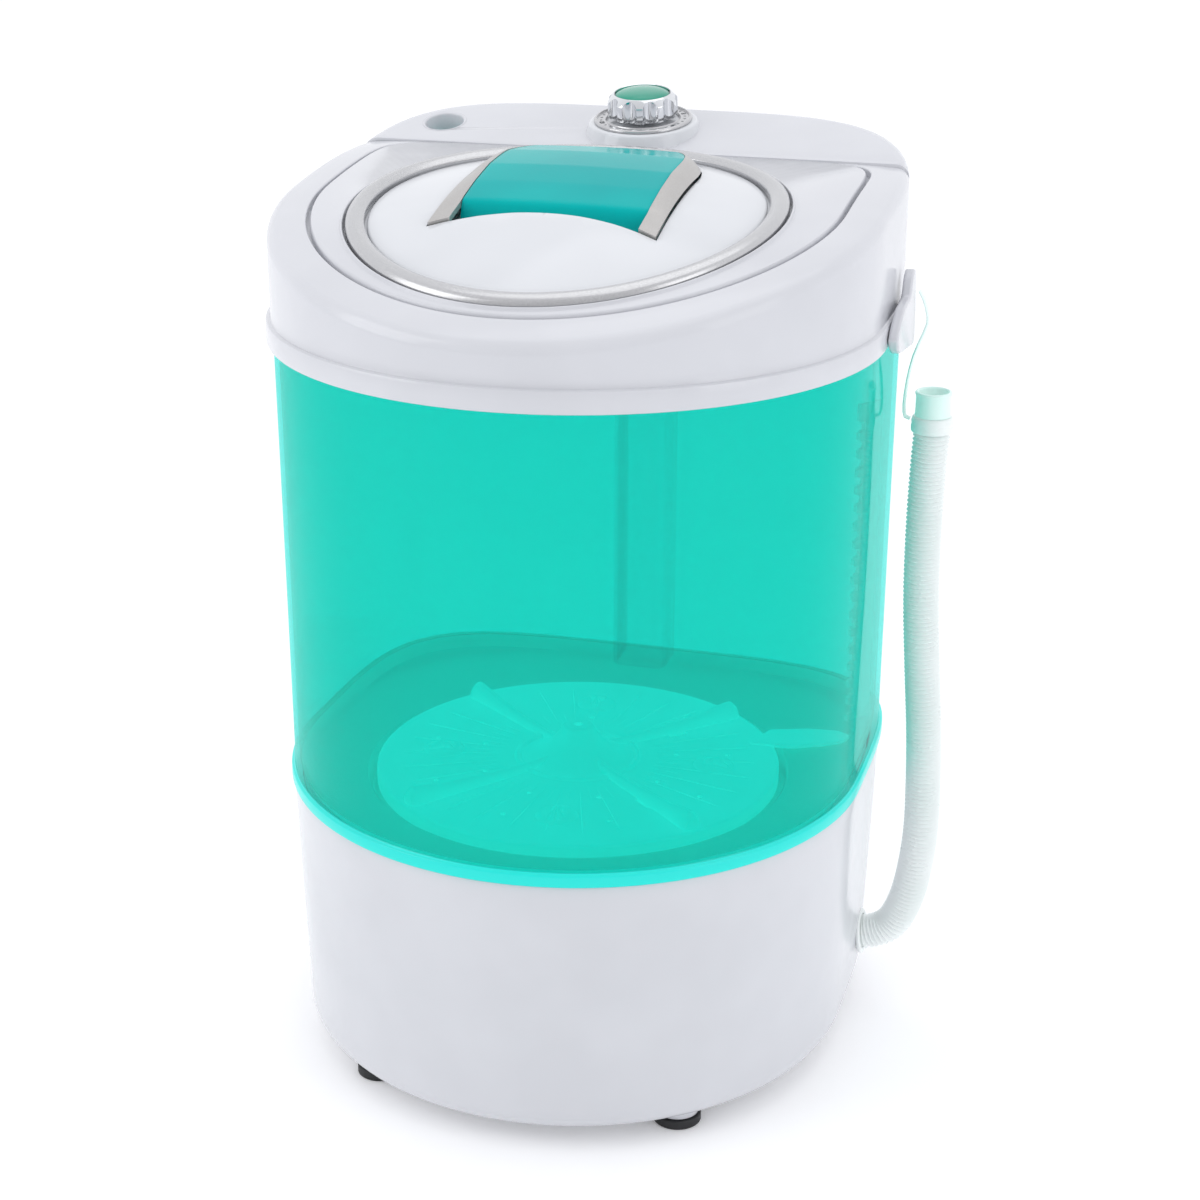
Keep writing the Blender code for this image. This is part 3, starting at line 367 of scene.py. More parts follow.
def moulded(name, colour, second, gloss, ripple, ior=1.5, metallic=0.0, coat=0.0, drift_mm=60.0, painted_glow=0.0):
    """A moulded or coated surface: a colour that drifts slightly, worn gloss and a fine ripple.
    An emission strength above nought is painted light, which makes the part look brighter than its lighting
    does."""
    finish, tree = new_finish(name)
    place = add_node(tree, "ShaderNodeTexCoord")
    noise = add_node(tree, "ShaderNodeTexNoise", {"Scale": 1000.0 / drift_mm, "Detail": 2.0},
                     {"Vector": place.outputs["Object"]})
    colours = add_node(tree, "ShaderNodeValToRGB", (), {"Fac": noise.outputs["Fac"]})
    colours.color_ramp.elements[0].position = 0.35
    colours.color_ramp.elements[0].color = shade(colour)
    colours.color_ramp.elements[1].position = 0.65
    colours.color_ramp.elements[1].color = shade(second)
    shader = add_node(
        tree, "ShaderNodeBsdfPrincipled",
        {"Metallic": metallic, "IOR": ior, "Coat Weight": coat, "Coat Roughness": 0.04,
         "Emission Color": shade(colour), "Emission Strength": painted_glow},
        {"Base Color": colours.outputs["Color"], "Roughness": worn_gloss(tree, 25.0, *gloss),
         "Normal": rippled(tree, *ripple)},
    )
    add_node(tree, "ShaderNodeOutputMaterial", (), {"Surface": shader.outputs["BSDF"]})
    return finish


# %% [markdown]
# ### White ABS
# The base, the cover, the deck and the lid are glossy ABS from polished moulds. It is a cool, faintly
# lavender white with a clear, slightly wavy reflection. ABS has a refractive index of about 1.54.

# %% White ABS
WHITE_ABS = moulded("glossy moulded white ABS", "#D3D4D9", "#CFD0D5", (0.13, 0.20), (6.0, 0.010), ior=1.54)
# A lighter copy of the same white ABS for the lid and the timer seat: its extra lightness is painted light that
# lifts the lid's upward-facing top and the shaded seat.
WHITE_ABS_PAINTED_LIGHTER = moulded("glossy moulded white ABS, painted lighter", "#D9DBDF", "#D6D8DC", (0.10, 0.16), (7.0, 0.008),
                     ior=1.54)

# %% [markdown]
# ### Tinted clear polypropylene
# The tub is a transparent turquoise moulding about 2.6 mm thick. Its colour is in the plastic, so most of it
# comes
# from the light that passes through: each face lets through about 15 per cent of the red and more than 80 per
# cent of the green and blue. A small share of the light is scattered in the wall, which gives it body, and
# the surface reflects more the more it is seen at a grazing angle. That scattering share also carries painted
# light, an emission that makes the tub brighter than its lighting, most of all in the flange and floor.

# %% Tinted tub
FLANGE_TOP = TUB_JOINT + 0.0076


def tinted(name, passes, body_colour, scatter, foot, painted_glow, roughness):
    """Clear coloured plastic: light passes straight through each face and takes its colour. The thick flange
    and the floor scatter more of it than the wall does, by the share called foot. The scattering share also
    carries painted light: an emission in the body colour, so the flange and floor come out brightest."""
    finish, tree = new_finish(name)
    clear = add_node(tree, "ShaderNodeBsdfTransparent", {"Color": shade(passes)})
    ripple = rippled(tree, 9.0, 0.012)
    filled = add_node(
        tree, "ShaderNodeBsdfPrincipled",
        {"Base Color": shade(body_colour), "Roughness": 0.3, "IOR": 1.49, "Emission Color": shade(body_colour),
         "Emission Strength": painted_glow},
        {"Normal": ripple},
    )
    place = add_node(tree, "ShaderNodeTexCoord")
    height = add_node(tree, "ShaderNodeSeparateXYZ", (), {0: place.outputs["Object"]})
    # Share of the scattering body, which also carries the painted light of its emission: small in the wall,
    # large in the flange and floor.
    scatter_and_glow_share = add_node(
        tree, "ShaderNodeMapRange",
        {"From Min": FLANGE_TOP + 0.0002, "From Max": FLANGE_TOP + 0.0010, "To Min": foot, "To Max": scatter},
        {"Value": height.outputs["Z"]},
    )
    wall = add_node(tree, "ShaderNodeMixShader", (),
                    {"Fac": scatter_and_glow_share.outputs[0], 1: clear.outputs[0], 2: filled.outputs[0]})
    facing = add_node(tree, "ShaderNodeLayerWeight", {"Blend": 0.5})
    rise = add_node(tree, "ShaderNodeMath", {"operation": "POWER", 1: 5.0}, {0: facing.outputs["Facing"]})
    sheen = add_node(tree, "ShaderNodeMath", {"operation": "MULTIPLY_ADD", 1: 0.60, 2: 0.020},
                     {0: rise.outputs[0]})
    gloss = add_node(tree, "ShaderNodeBsdfGlossy", {"Color": shade("#B9F2EE"), "Roughness": roughness},
                     {"Normal": ripple})
    whole = add_node(tree, "ShaderNodeMixShader", (),
                     {"Fac": sheen.outputs[0], 1: wall.outputs[0], 2: gloss.outputs[0]})
    add_node(tree, "ShaderNodeOutputMaterial", (), {"Surface": whole.outputs[0]})
    return finish


# The sixth value is painted light: an emission in the scattering share that makes the tub and the duct brighter
# than their lighting, most of all in the tub's flange and floor.
TUB_TINT = tinted("tinted clear polypropylene, turquoise", "#6CEFE9", "#00D2CA", 0.05, 0.80, 0.34, 0.05)
DUCT_TINT = tinted("tinted polypropylene, rear duct", "#F8FEFE", "#00CFC4", 0.01, 0.01, 0.30, 0.40)

# %% [markdown]
# ### The rest of the outside
# The pulsator is a pale aqua moulding. The lid's ring is sprayed silver, with metal flakes too fine to see
# singly, so they are drawn about half a millimetre across. The timer knob is chrome-plated plastic, its cap
# and the lid's grip plate are green with a clear coat, and the feet are black rubber. The hose is milky
# polyethylene, blow-moulded into corrugations.

# %% Other finishes
# The pulsator, its vanes, bosses and ribs and the drain tongue get painted light: an emission that makes them
# brighter than the light reaching them inside the tub.
PULSATOR_AQUA = moulded("pale aqua polypropylene", "#E6FAF7", "#DCF6F2", (0.28, 0.38), (2.0, 0.02), ior=1.49,
                        painted_glow=0.27)
GREEN_PLATE = moulded("glossy green plastic", "#00B0AE", "#00A8A8", (0.15, 0.20), (8.0, 0.008), ior=1.17)
GREEN_CAP = moulded("clear-coated emerald plastic", "#239C82", "#1C9078", (0.12, 0.16), (5.0, 0.004), ior=1.4,
                    coat=0.25)
SILVER = moulded("sprayed silver plastic", "#CBCBCC", "#BCBCBE", (0.20, 0.27), (0.6, 0.004), metallic=0.9,
                 drift_mm=0.5)
WARM_SILVER = moulded("sprayed warm grey plastic", "#BDBBB9", "#B2AFAC", (0.30, 0.38), (0.6, 0.004),
                      metallic=0.6, drift_mm=0.5)
CHROME = moulded("chrome-plated plastic", "#E2E4E6", "#DCDEE1", (0.03, 0.07), (4.0, 0.002), metallic=1.0)
RUBBER = moulded("moulded black rubber", "#1B1C1F", "#141517", (0.50, 0.62), (0.8, 0.03), ior=1.52)
# Both milky finishes carry a little painted light: an emission that brightens every piece that wears them, the
# hose's shaded valleys included.
HOSE_MILKY = moulded("milky blow-moulded polyethylene", "#EBEEEE", "#E4EAE9", (0.24, 0.34), (1.5, 0.02),
                     painted_glow=0.09)
CUFF_MILKY = moulded("milky polyethylene, thin wall", "#DDF0EC", "#D5ECE7", (0.15, 0.22), (3.0, 0.01),
                     painted_glow=0.15)
PRINT_GREY = moulded("printed dial ink", "#5C6066", "#555A60", (0.40, 0.50), (2.0, 0.002))
STEEL = moulded("zinc-plated steel", "#B4B6BA", "#A4A7AC", (0.25, 0.42), (0.5, 0.006), metallic=1.0,
                drift_mm=3.0)
CAST_ALUMINIUM = moulded("die-cast aluminium", "#A2A4A7", "#909296", (0.42, 0.58), (1.2, 0.05), metallic=1.0,
                         drift_mm=4.0)
GREY_PLASTIC = moulded("grey glass-filled nylon", "#7C7F84", "#73767B", (0.42, 0.55), (0.9, 0.02))
BRONZE = moulded("sintered bronze", "#A9793F", "#8E6636", (0.40, 0.55), (0.4, 0.02), metallic=1.0, drift_mm=1.0)
print(len(bpy.data.materials), "finishes")

# %% [markdown]
# ## The drain hose
# The hose leaves the base at the lower right, turns up close to the wall and stands nearly straight to the
# strap that holds its open end. It is settled before anything else, because it decides how much room the
# machine takes. It is a row of rings along a smooth line, wide at each crest and narrow at each valley, one
# crest every 2.6 mm. The same line is the engineering model's.

# %% Hose route
HOSE_RADIUS = 0.0105
HOSE_VALLEY = 0.0086
HOSE_PITCH = 0.0026
HOSE_ROUTE = (
    (0.1480, 0.0610, 0.0440), (0.1580, 0.0612, 0.0440), (0.1675, 0.0614, 0.0452), (0.1800, 0.0616, 0.0525),
    (0.1880, 0.0618, 0.0690), (0.1925, 0.0620, 0.0900), (0.1950, 0.0620, 0.1150), (0.1952, 0.0620, 0.1400),
    (0.1938, 0.0620, 0.1800), (0.1905, 0.0620, 0.2250), (0.1880, 0.0620, 0.2650), (0.1874, 0.0620, 0.3050),
    (0.1880, 0.0620, 0.3400), (0.1890, 0.0620, 0.3630),
)


def smooth_route(points, count):
    """Evenly spaced points on a smooth curve through the given ones."""
    given = [Vector(point) for point in points]
    ends = [2 * given[0] - given[1], *given, 2 * given[-1] - given[-2]]
    fine = []
    for place in range(1, len(ends) - 2):
        before, start, end, after = ends[place - 1:place + 3]
        for step in range(24):
            t = step / 24
            fine.append(0.5 * (2 * start + (end - before) * t
                               + (2 * before - 5 * start + 4 * end - after) * t * t
                               + (3 * start - before - 3 * end + after) * t ** 3))
    fine.append(given[-1])
    reached = [0.0]
    for before, after in zip(fine, fine[1:]):
        reached.append(reached[-1] + (after - before).length)
    even = []
    place = 0
    for step in range(count):
        want = reached[-1] * step / (count - 1)
        while place < len(reached) - 2 and reached[place + 1] < want:
            place += 1
        part = (want - reached[place]) / (reached[place + 1] - reached[place])
        even.append(fine[place].lerp(fine[place + 1], min(max(part, 0.0), 1.0)))
    return even, reached[-1]


def heading(points, place):
    """Which way a route runs at one of its points."""
    return (points[min(place + 1, len(points) - 1)] - points[max(place - 1, 0)]).normalized()


def tube_ring(centre, along, radius):
    """A ring square to a route that stays in one upright plane."""
    across = Vector((0.0, 1.0, 0.0))
    other = along.cross(across).normalized()
    return lambda angle: centre + radius * (math.cos(angle) * across + math.sin(angle) * other)


_, hose_length = smooth_route(HOSE_ROUTE, 40)
crests = round(hose_length / HOSE_PITCH)
route, hose_length = smooth_route(HOSE_ROUTE, crests * 4 + 1)
print("hose length", round(hose_length, 4), "m,", crests, "crests")

# %% Corrugated hose
hose_rings = []
for place, centre in enumerate(route):
    wave = (HOSE_VALLEY, (HOSE_VALLEY + HOSE_RADIUS) / 2, HOSE_RADIUS,
            (HOSE_VALLEY + HOSE_RADIUS) / 2)[place % 4]
    hose_rings.append(tube_ring(centre, heading(route, place), wave))
hose = tower("corrugated_hose", hose_rings, around=28, ends="caps")
bpy.ops.object.shade_smooth_by_angle(angle=math.radians(70))
dress(hose, HOSE_MILKY, "washer", "pale_hose", "drain_hose")

# %% [markdown]
# The hose ends in a plain cuff that a sink adaptor would push on to. A collar below it is where the strap
# takes hold. Both are turned from their profiles, and the cuff is open at the top with a real wall.

# %% Cuff and collar
hose_top = Matrix.Translation((0.1890, 0.0620, 0.0))
collar = lathe(
    "hose_grip_collar",
    [(0.0, 0.3732), *arc((0.0104, 0.3722), (0.0010, 0.0010), 90, 20, 3), (0.0119, 0.3706), (0.0116, 0.3690),
     (0.0119, 0.3672), *arc((0.0108, 0.3652), (0.0010, 0.0010), -10, -80, 3), (0.0104, 0.3640), (0.0, 0.3640)],
    hose_top, around=48, ends="caps",
)
dress(collar, HOSE_MILKY, "washer", "pale_hose", "hose_collar")
cuff = lathe(
    "hose_open_cuff",
    [(0.0101, 0.3735), (0.0099, 0.3780), (0.0099, 0.3852), *arc((0.0096, 0.3864), (0.0008, 0.0011), -30, 90, 4),
     (0.0088, 0.3875), (0.0083, 0.3868), (0.0082, 0.3740)],
    hose_top, around=48,
)
dress(cuff, CUFF_MILKY, "washer", "pale_hose", "hose_cuff")

# %% [markdown]
# ## The hook bracket and its strap
# A lug on the cover's lip carries a thin moulded strap, and the strap's foot clips round the hose's collar
# to keep the open end above the water. The lug is a bevelled plate, and the strap is a flat strip led along
# a bent line. On the real machine it flexes and unhooks by hand.

# %% Hook bracket
lug_outline = [
    (0.0020, 0.4300), (0.0060, 0.4240), (0.0120, 0.4205), (0.0260, 0.4178), (0.0400, 0.4160), (0.0540, 0.4138),
    (0.0650, 0.4126), (0.0688, 0.4150), (0.0690, 0.4240), (0.0680, 0.4330), (0.0652, 0.4400), (0.0640, 0.4470),
    (0.0632, 0.4528), (0.0605, 0.4560), (0.0575, 0.4566), (0.0525, 0.4545), (0.0498, 0.4520), (0.0480, 0.4470),
    (0.0455, 0.4440), (0.0340, 0.4430), (0.0240, 0.4425), (0.0140, 0.4385), (0.0060, 0.4345),
]
lug_place = (
    Matrix.Translation((0.1712, 0.0, 0.0)) @ Matrix.Rotation(math.radians(91), 4, "Z")
    @ Matrix.Rotation(math.radians(90), 4, "X")
)
lug = slab("hook_lug", lug_outline, 0.0, 0.0056, lug_place)
round_edges(lug, 0.0014, 3)
dress(lug, WHITE_ABS, "washer", "white_abs", "hook_bracket")

# %% Strap
STRAP_LINE = (
    (0.1783, 0.4440), (0.1806, 0.4400), (0.1822, 0.4355), (0.1836, 0.4300), (0.1836, 0.4262), (0.1818, 0.4205),
    (0.1792, 0.4140), (0.1768, 0.4070), (0.1752, 0.4000), (0.1740, 0.3930), (0.1731, 0.3850), (0.1727, 0.3790),
    (0.1729, 0.3745), (0.1736, 0.3718), (0.1764, 0.3708),
)
strap_route = [Vector((x, 0.0617, z)) for x, z in STRAP_LINE]
strap_rings = []
for place, centre in enumerate(strap_route):
    thick = heading(strap_route, place).cross(Vector((0.0, 1.0, 0.0))).normalized() * 0.0009
    wide = Vector((0.0, 0.0026, 0.0))
    strap_rings.append(lambda angle, c=centre, t=thick, w=wide: c + math.cos(angle) * w + math.sin(angle) * t)
strap = tower("hose_holding_strap", strap_rings, around=16, ends="caps")
dress(strap, CUFF_MILKY, "washer", "pale_hose", "hose_strap")

# %% [markdown]
# ## The base
# The base is one deep white moulding that hides the motor. Its wall leans in a little towards the floor, as
# it has to if it is to leave its mould, and turns under with a round edge. Two holes are cut: the hose's
# port low on the right and the cord's at the back.

# %% Base
base_profile = [
    (0.1650, TUB_JOINT - 0.0003), *arc((BASE_RADIUS - 0.0006, TUB_JOINT - 0.0009), (0.0006, 0.0006), 80, 0, 2),
    (0.1654, 0.1560), (0.1640, 0.1100), (0.1626, 0.0700), (0.1617, 0.0500), (0.1611, 0.0360),
    *arc((0.1465, 0.0262), (0.0145, 0.0155), 0, -90, 9),
    (0.1180, 0.0107), (0.1180, 0.0133), (0.1460, 0.0133), *arc((0.1465, 0.0262), (0.0117, 0.0127), -80, -10, 5),
    (0.1588, 0.0500), (0.1612, 0.1100), (0.1624, 0.1640),
]
base = tower("base_shell", [body_ring(*point) for point in base_profile])
carve(base, lathe("port_cutter", [(0.0113, 0.0), (0.0113, 0.05)],
                  Matrix.Translation((0.140, *HOSE_PORT)) @ Matrix.Rotation(math.radians(90), 4, "Y"),
                  48, "caps"))
carve(base, lathe("gland_cutter", [(0.0080, 0.0), (0.0080, 0.03)],
                  Matrix.Translation((-0.075, 0.178, 0.060)) @ Matrix.Rotation(math.radians(90), 4, "X"),
                  32, "caps"))
tidy_mesh(base)
dress(base, WHITE_ABS, "washer", "white_abs", "base_housing")

# %% [markdown]
# The hose pushes through a soft round grommet where it leaves the base, and the machine stands on four
# rubber feet under short moulded bosses.

# %% Grommet and feet
grommet = lathe(
    "hose_grommet",
    [(0.0107, -0.0012), (0.0125, -0.0012), *arc((0.0125, 0.0004), (0.0014, 0.0012), -40, 90, 4),
     (0.0107, 0.0014)],
    Matrix.Translation((0.1622, *HOSE_PORT)) @ Matrix.Rotation(math.radians(84), 4, "Y"), around=48,
)
dress(grommet, HOSE_MILKY, "washer", "pale_hose")
for side, x, y in (("front_right", 0.0890, -0.1040), ("front_left", -0.0890, -0.1040),
                   ("rear_left", -0.0950, 0.0950), ("rear_right", 0.0950, 0.0950)):
    stand = Matrix.Translation((x, y, 0.0))
    boss = lathe(
        f"foot_socket_{side}",
        [(0.0, 0.0105), (0.0132, 0.0105), (0.0130, 0.0088), (0.0126, 0.0074), (0.0122, 0.0064), (0.0, 0.0062)],
        stand, around=40, ends="caps",
    )
    dress(boss, WHITE_ABS, "washer", "white_abs", f"foot_boss_{side}")
    pad = lathe(
        f"foot_rubber_{side}",
        [(0.0, 0.0059), (0.0118, 0.0059), *arc((0.0124, 0.0047), (0.0012, 0.0010), 90, 0, 3), (0.0133, 0.0034),
         (0.0136, 0.0022), *arc((0.0124, 0.0010), (0.0012, 0.0010), 0, -90, 3), (0.0090, 0.0), (0.0080, 0.0010),
         (0.0, 0.0010)],
        stand, around=40, ends="caps",
    )
    dress(pad, RUBBER, "washer", "black_rubber", f"foot_pad_{side}")

# %% [markdown]
# ## The tub
# The tub is one clear moulding: a tall wall with a thick flange at its foot, a floor with a round sump that
# the pulsator sits in, and a hollow for the shaft. The flange shows as a bright band, partly by catching the
# light and partly from painted light in its finish, so its edge is rounded and stands a little proud of the
# wall.

# %% Tub wall and floor
tub_profile = [
    (TUB_RADIUS, 0.4305), (0.1662, 0.3600), (0.1656, 0.2700),
    (0.1651, 0.1900), (0.1650, FLANGE_TOP + 0.0014), (0.1655, FLANGE_TOP + 0.0003),
    *arc((0.1660, FLANGE_TOP - 0.0014), (0.0012, 0.0012), 80, 0, 3),
    *arc((0.1660, TUB_JOINT + 0.0012), (0.0012, 0.0012), 0, -90, 3),
    (0.1612, TUB_JOINT), (0.1596, 0.1612, 0.9), (0.1540, 0.1598, 0.6),
    (0.1270, 0.1580, 0.0), (0.1245, 0.1560, 0.0), (0.1225, 0.1490, 0.0),
    (0.0125, 0.1490, 0.0), (0.0125, 0.1520, 0.0),
    (0.1195, 0.1520, 0.0), (0.1208, 0.1530, 0.0), (0.1222, 0.1606, 0.0),
    (0.1236, 0.1622, 0.0), (0.1420, 0.1632, 0.4), (0.1520, 0.1642, 0.8),
    (0.1580, 0.1672), (0.1610, 0.1716), (0.1622, 0.1780), (0.1626, 0.1900),
    (0.1630, 0.2700), (0.1636, 0.3600), (TUB_RADIUS - WALL, 0.4305),
]
tub = tower("clear_tub", [body_ring(*row) for row in tub_profile])
dress(tub, TUB_TINT, "washer", "turquoise_tub", "tub")

# %% [markdown]
# Inside the tub, a tongue-shaped cover closes the drain's channel at the right.

# %% Drain tongue
tongue_outline = [(0.092, 0.047), (0.118, 0.049), (0.136, 0.058), (0.146, 0.066), (0.148, 0.075),
                  (0.140, 0.080), (0.122, 0.078), (0.100, 0.070)]
tongue = slab("drain_channel_tongue", tongue_outline, 0.1652, 0.1676)
round_edges(tongue, 0.0009, 2)
dress(tongue, PULSATOR_AQUA, "washer", "aqua_white")

# %% [markdown]
# ## The pulsator
# The pulsator is the ribbed disc that stirs the wash. It has a cone in the middle with a screw under it,
# four straight vanes that rise towards the rim, four shell-shaped bosses between them, fine radial ribs and
# two square windows. The disc is turned, a vane, a boss and a rib are each modelled once and copied round,
# and the windows are cut through.

# %% Pulsator disc
disc_profile = [
    (0.0026, 0.1876), (0.0058, 0.1876), *arc((0.0064, 0.1850), (0.0032, 0.0026), 90, 15, 4), (0.0122, 0.1812),
    (0.0160, 0.1770), (0.0205, 0.1730), (0.0262, 0.1698), (0.0300, 0.1684), (0.0330, 0.1680), (0.0345, 0.1692),
    (0.0360, 0.1692), (0.0375, 0.1678), (0.0480, 0.1672), (0.0900, 0.1664), (0.1100, 0.1664),
    *arc((0.1160, 0.1646), (0.0020, 0.0016), 90, 0, 4), (0.1180, 0.1575), (0.1160, 0.1575), (0.1158, 0.1628),
    (0.1100, 0.1640), (0.0300, 0.1650), (0.0120, 0.1640), (0.0070, 0.1800), (0.0026, 0.1815),
]
disc = lathe("pulsator_disc", disc_profile, around=FINE)
for x, y, turn in ((0.046, 0.050, 47), (0.056, -0.049, -41)):
    carve(disc, block("window_cutter", (0.0120, 0.0095, 0.03), (x, y, 0.166),
                      Matrix.Rotation(math.radians(turn), 4, "Z")))
for angle in range(18, 378, 40):
    for reach in (0.058, 0.088):
        spot = (reach * math.cos(math.radians(angle)), reach * math.sin(math.radians(angle)), 0.15)
        carve(disc, lathe("drain_hole_cutter", [(0.0015, 0.0), (0.0015, 0.03)], Matrix.Translation(spot), 10,
                          "caps"))
tidy_mesh(disc)
dress(disc, PULSATOR_AQUA, "agitator", "aqua_white", "pulsator")

# %% Vanes


def ridge(name, line, half_width, turn):
    """A rounded ridge: one ring for each (distance, height) of its crest, on a floor that it sinks into."""
    rings = []
    for distance, crest, part in line:
        rings.append(lambda angle, d=distance, c=crest, w=half_width * part: turn @ Vector(
            (d, w * math.cos(angle), 0.1650 + (c - 0.1650) * max(0.0, math.sin(angle)) - 0.0006)))
    return tower(name, rings, around=16, ends="caps")


VANE_LINE = ((0.0150, 0.1740, 0.8), (0.0300, 0.1722, 0.8), (0.0600, 0.1722, 0.9), (0.0900, 0.1738, 1.0),
             (0.1060, 0.1762, 1.25), (0.1120, 0.1764, 1.3), (0.1150, 0.1735, 1.0), (0.1160, 0.1660, 0.5))
for number, angle in enumerate(VANE_ANGLES, start=1):
    vane = ridge(f"pulsator_vane_{number}", VANE_LINE, 0.0050, Matrix.Rotation(math.radians(angle), 4, "Z"))
    dress(vane, PULSATOR_AQUA, "agitator", "aqua_white")

# %% Shell bosses
for number, angle in enumerate((8, 98, 188, 278), start=1):
    turn = Matrix.Rotation(math.radians(angle), 4, "Z") @ Matrix.Translation((0.080, 0.0, 0.1655))
    shells = [lathe("shell_base", [(0.0, 0.0030), (0.0080, 0.0028), (0.0115, 0.0018), (0.0130, 0.0),
                                   (0.0, 0.0)],
                    turn, 32, "caps")]
    for leaf in (-28, 0, 28):
        lean = turn @ Matrix.Rotation(math.radians(leaf), 4, "Z")
        rings = []
        for distance, high, wide in ((-0.0085, 0.0010, 0.0012), (-0.004, 0.0052, 0.0022),
                                     (0.002, 0.0062, 0.0026), (0.0085, 0.0040, 0.0022),
                                     (0.0115, 0.0008, 0.0010)):
            rings.append(lambda a, d=distance, h=high, w=wide, m=lean: m @ Vector(
                (d, w * math.cos(a), h * max(0.0, math.sin(a)))))
        shells.append(tower("shell_leaf", rings, 12, "caps"))
    boss = join(f"pulsator_shell_{number}", shells)
    dress(boss, PULSATOR_AQUA, "agitator", "aqua_white")

# %% Radial ribs
ribs = []
for angle in range(0, 360, 6):
    clear_of_vane = min(abs((angle - vane + 180) % 360 - 180) for vane in VANE_ANGLES)
    if clear_of_vane < 9:
        continue
    long_rib = angle % 12 == 0
    line = ((0.0400, 0.1672, 0.4), (0.0420, 0.1680, 1.0), (0.060, 0.1678, 1.0), (0.0660, 0.1672, 0.5))
    if long_rib:
        line = ((0.0400, 0.1672, 0.4), (0.0420, 0.1680, 1.0), (0.098, 0.1676, 1.0), (0.1060, 0.1668, 0.5))
    ribs.append(ridge("rib", line, 0.0007, Matrix.Rotation(math.radians(angle), 4, "Z")))
rib_set = join("pulsator_ribs", ribs)
dress(rib_set, PULSATOR_AQUA, "agitator", "aqua_white")

# %% [markdown]
# ## The top cover
# The cover drops over the tub's rim with a straight lip, rises as a smooth wall and turns over a shoulder to
# the seam that runs round the deck. The shoulder is a soft edge that catches a long highlight, so it has many
# rings. The part behind the crease belongs to the timer panel, and a box is cut away for it.

# %% Top cover
SHOULDER = 0.0068
shoulder = arc((COVER_RADIUS - SHOULDER, 0.0), (SHOULDER, -SHOULDER), 0, 78, 9)
cover_rings = [
    body_ring(TUB_RADIUS + 0.0010, LIP_BOTTOM), body_ring(LIP_RADIUS - 0.0010, LIP_BOTTOM),
    body_ring(LIP_RADIUS - 0.0002, LIP_BOTTOM + 0.0004), body_ring(LIP_RADIUS, LIP_BOTTOM + 0.0012),
    body_ring(LIP_RADIUS, LIP_BOTTOM + 0.0106), body_ring(LIP_RADIUS - 0.0004, LIP_BOTTOM + 0.0118),
    body_ring(LIP_RADIUS - 0.0014, LIP_BOTTOM + 0.0124), body_ring(COVER_RADIUS + 0.0003, LIP_BOTTOM + 0.0126),
    body_ring(COVER_RADIUS, LIP_BOTTOM + 0.0134), body_ring(COVER_RADIUS, LIP_BOTTOM + 0.0180),
    *[shoulder_ring(radius, SHOULDER + 0.0016 + fall) for radius, fall in shoulder],
    seam_ring(-0.0040, -0.0008), seam_ring(-0.0026, -0.0009), seam_ring(-0.0022, -0.0014),
    seam_ring(-0.0022, -0.0052), seam_ring(0.0016, -0.0052), seam_ring(0.0016, -0.0075),
    seam_ring(-0.0040, -0.0080),
    shoulder_ring(COVER_RADIUS - 0.0100, 0.0086), shoulder_ring(COVER_RADIUS - 0.0048, 0.0105),
    shoulder_ring(COVER_RADIUS - WALL, 0.0140),
    body_ring(COVER_RADIUS - WALL - 0.0004, LIP_BOTTOM + 0.0105),
    body_ring(TUB_RADIUS + 0.0010, LIP_BOTTOM + 0.0080),
]
cover = tower("cover_shell", cover_rings)
carve(cover, block("rear_cutter", (0.40, 0.10, 0.10), (0.0, CREASE_Y + 0.0500, 0.4950)))
tidy_mesh(cover, 30)
dress(cover, WHITE_ABS, "washer", "white_abs", "top_cover")

# %% [markdown]
# ## The inner deck
# Inside the seam lies a separate sloping plate. A raised lip runs round the lid's seat, and inside that the
# plate drops to a ledge that the lid rests on, with a short collar below to keep splashes in.

# %% Inner deck
deck_rings = [
    seam_ring(0.0002, -0.0012), seam_ring(0.0, -0.0020), seam_ring(0.0, -0.0049), seam_ring(0.0028, -0.0049),
    seat_ring(0.1203, -0.0068), seat_ring(0.1161, -0.0068), seat_ring(0.1160, -0.0150),
    seat_ring(0.1140, -0.0150), seat_ring(0.1140, -0.0042), seat_ring(0.1195, -0.0042),
    seat_ring(0.1196, 0.0008), seat_ring(0.1198, 0.0015), seat_ring(0.1202, 0.0018), seat_ring(0.1206, 0.0017),
    seat_ring(0.1210, 0.0010), seat_ring(0.1213, 0.0003), seat_ring(0.1218, 0.0), seam_ring(0.0016, -0.0001),
    seam_ring(0.0007, -0.0004),
]
deck = tower("deck_plate", deck_rings)
dress(deck, WHITE_ABS, "washer", "white_abs", "inner_deck")

# %% [markdown]
# ## The timer panel
# Behind the crease a taller moulding rises to the back. It holds the timer under a low round seat, and the
# water inlet at its left. Its outer edge has a tight, even radius, so it reads as a firm block.

# %% Timer panel


def roof_ring(radius, drop):
    def at(angle):
        point = body_ring(radius, 0.0)(angle)
        point.z = CREASE_Z + math.tan(PANEL_TILT) * (point.y - CREASE_Y) - drop
        return point
    return at


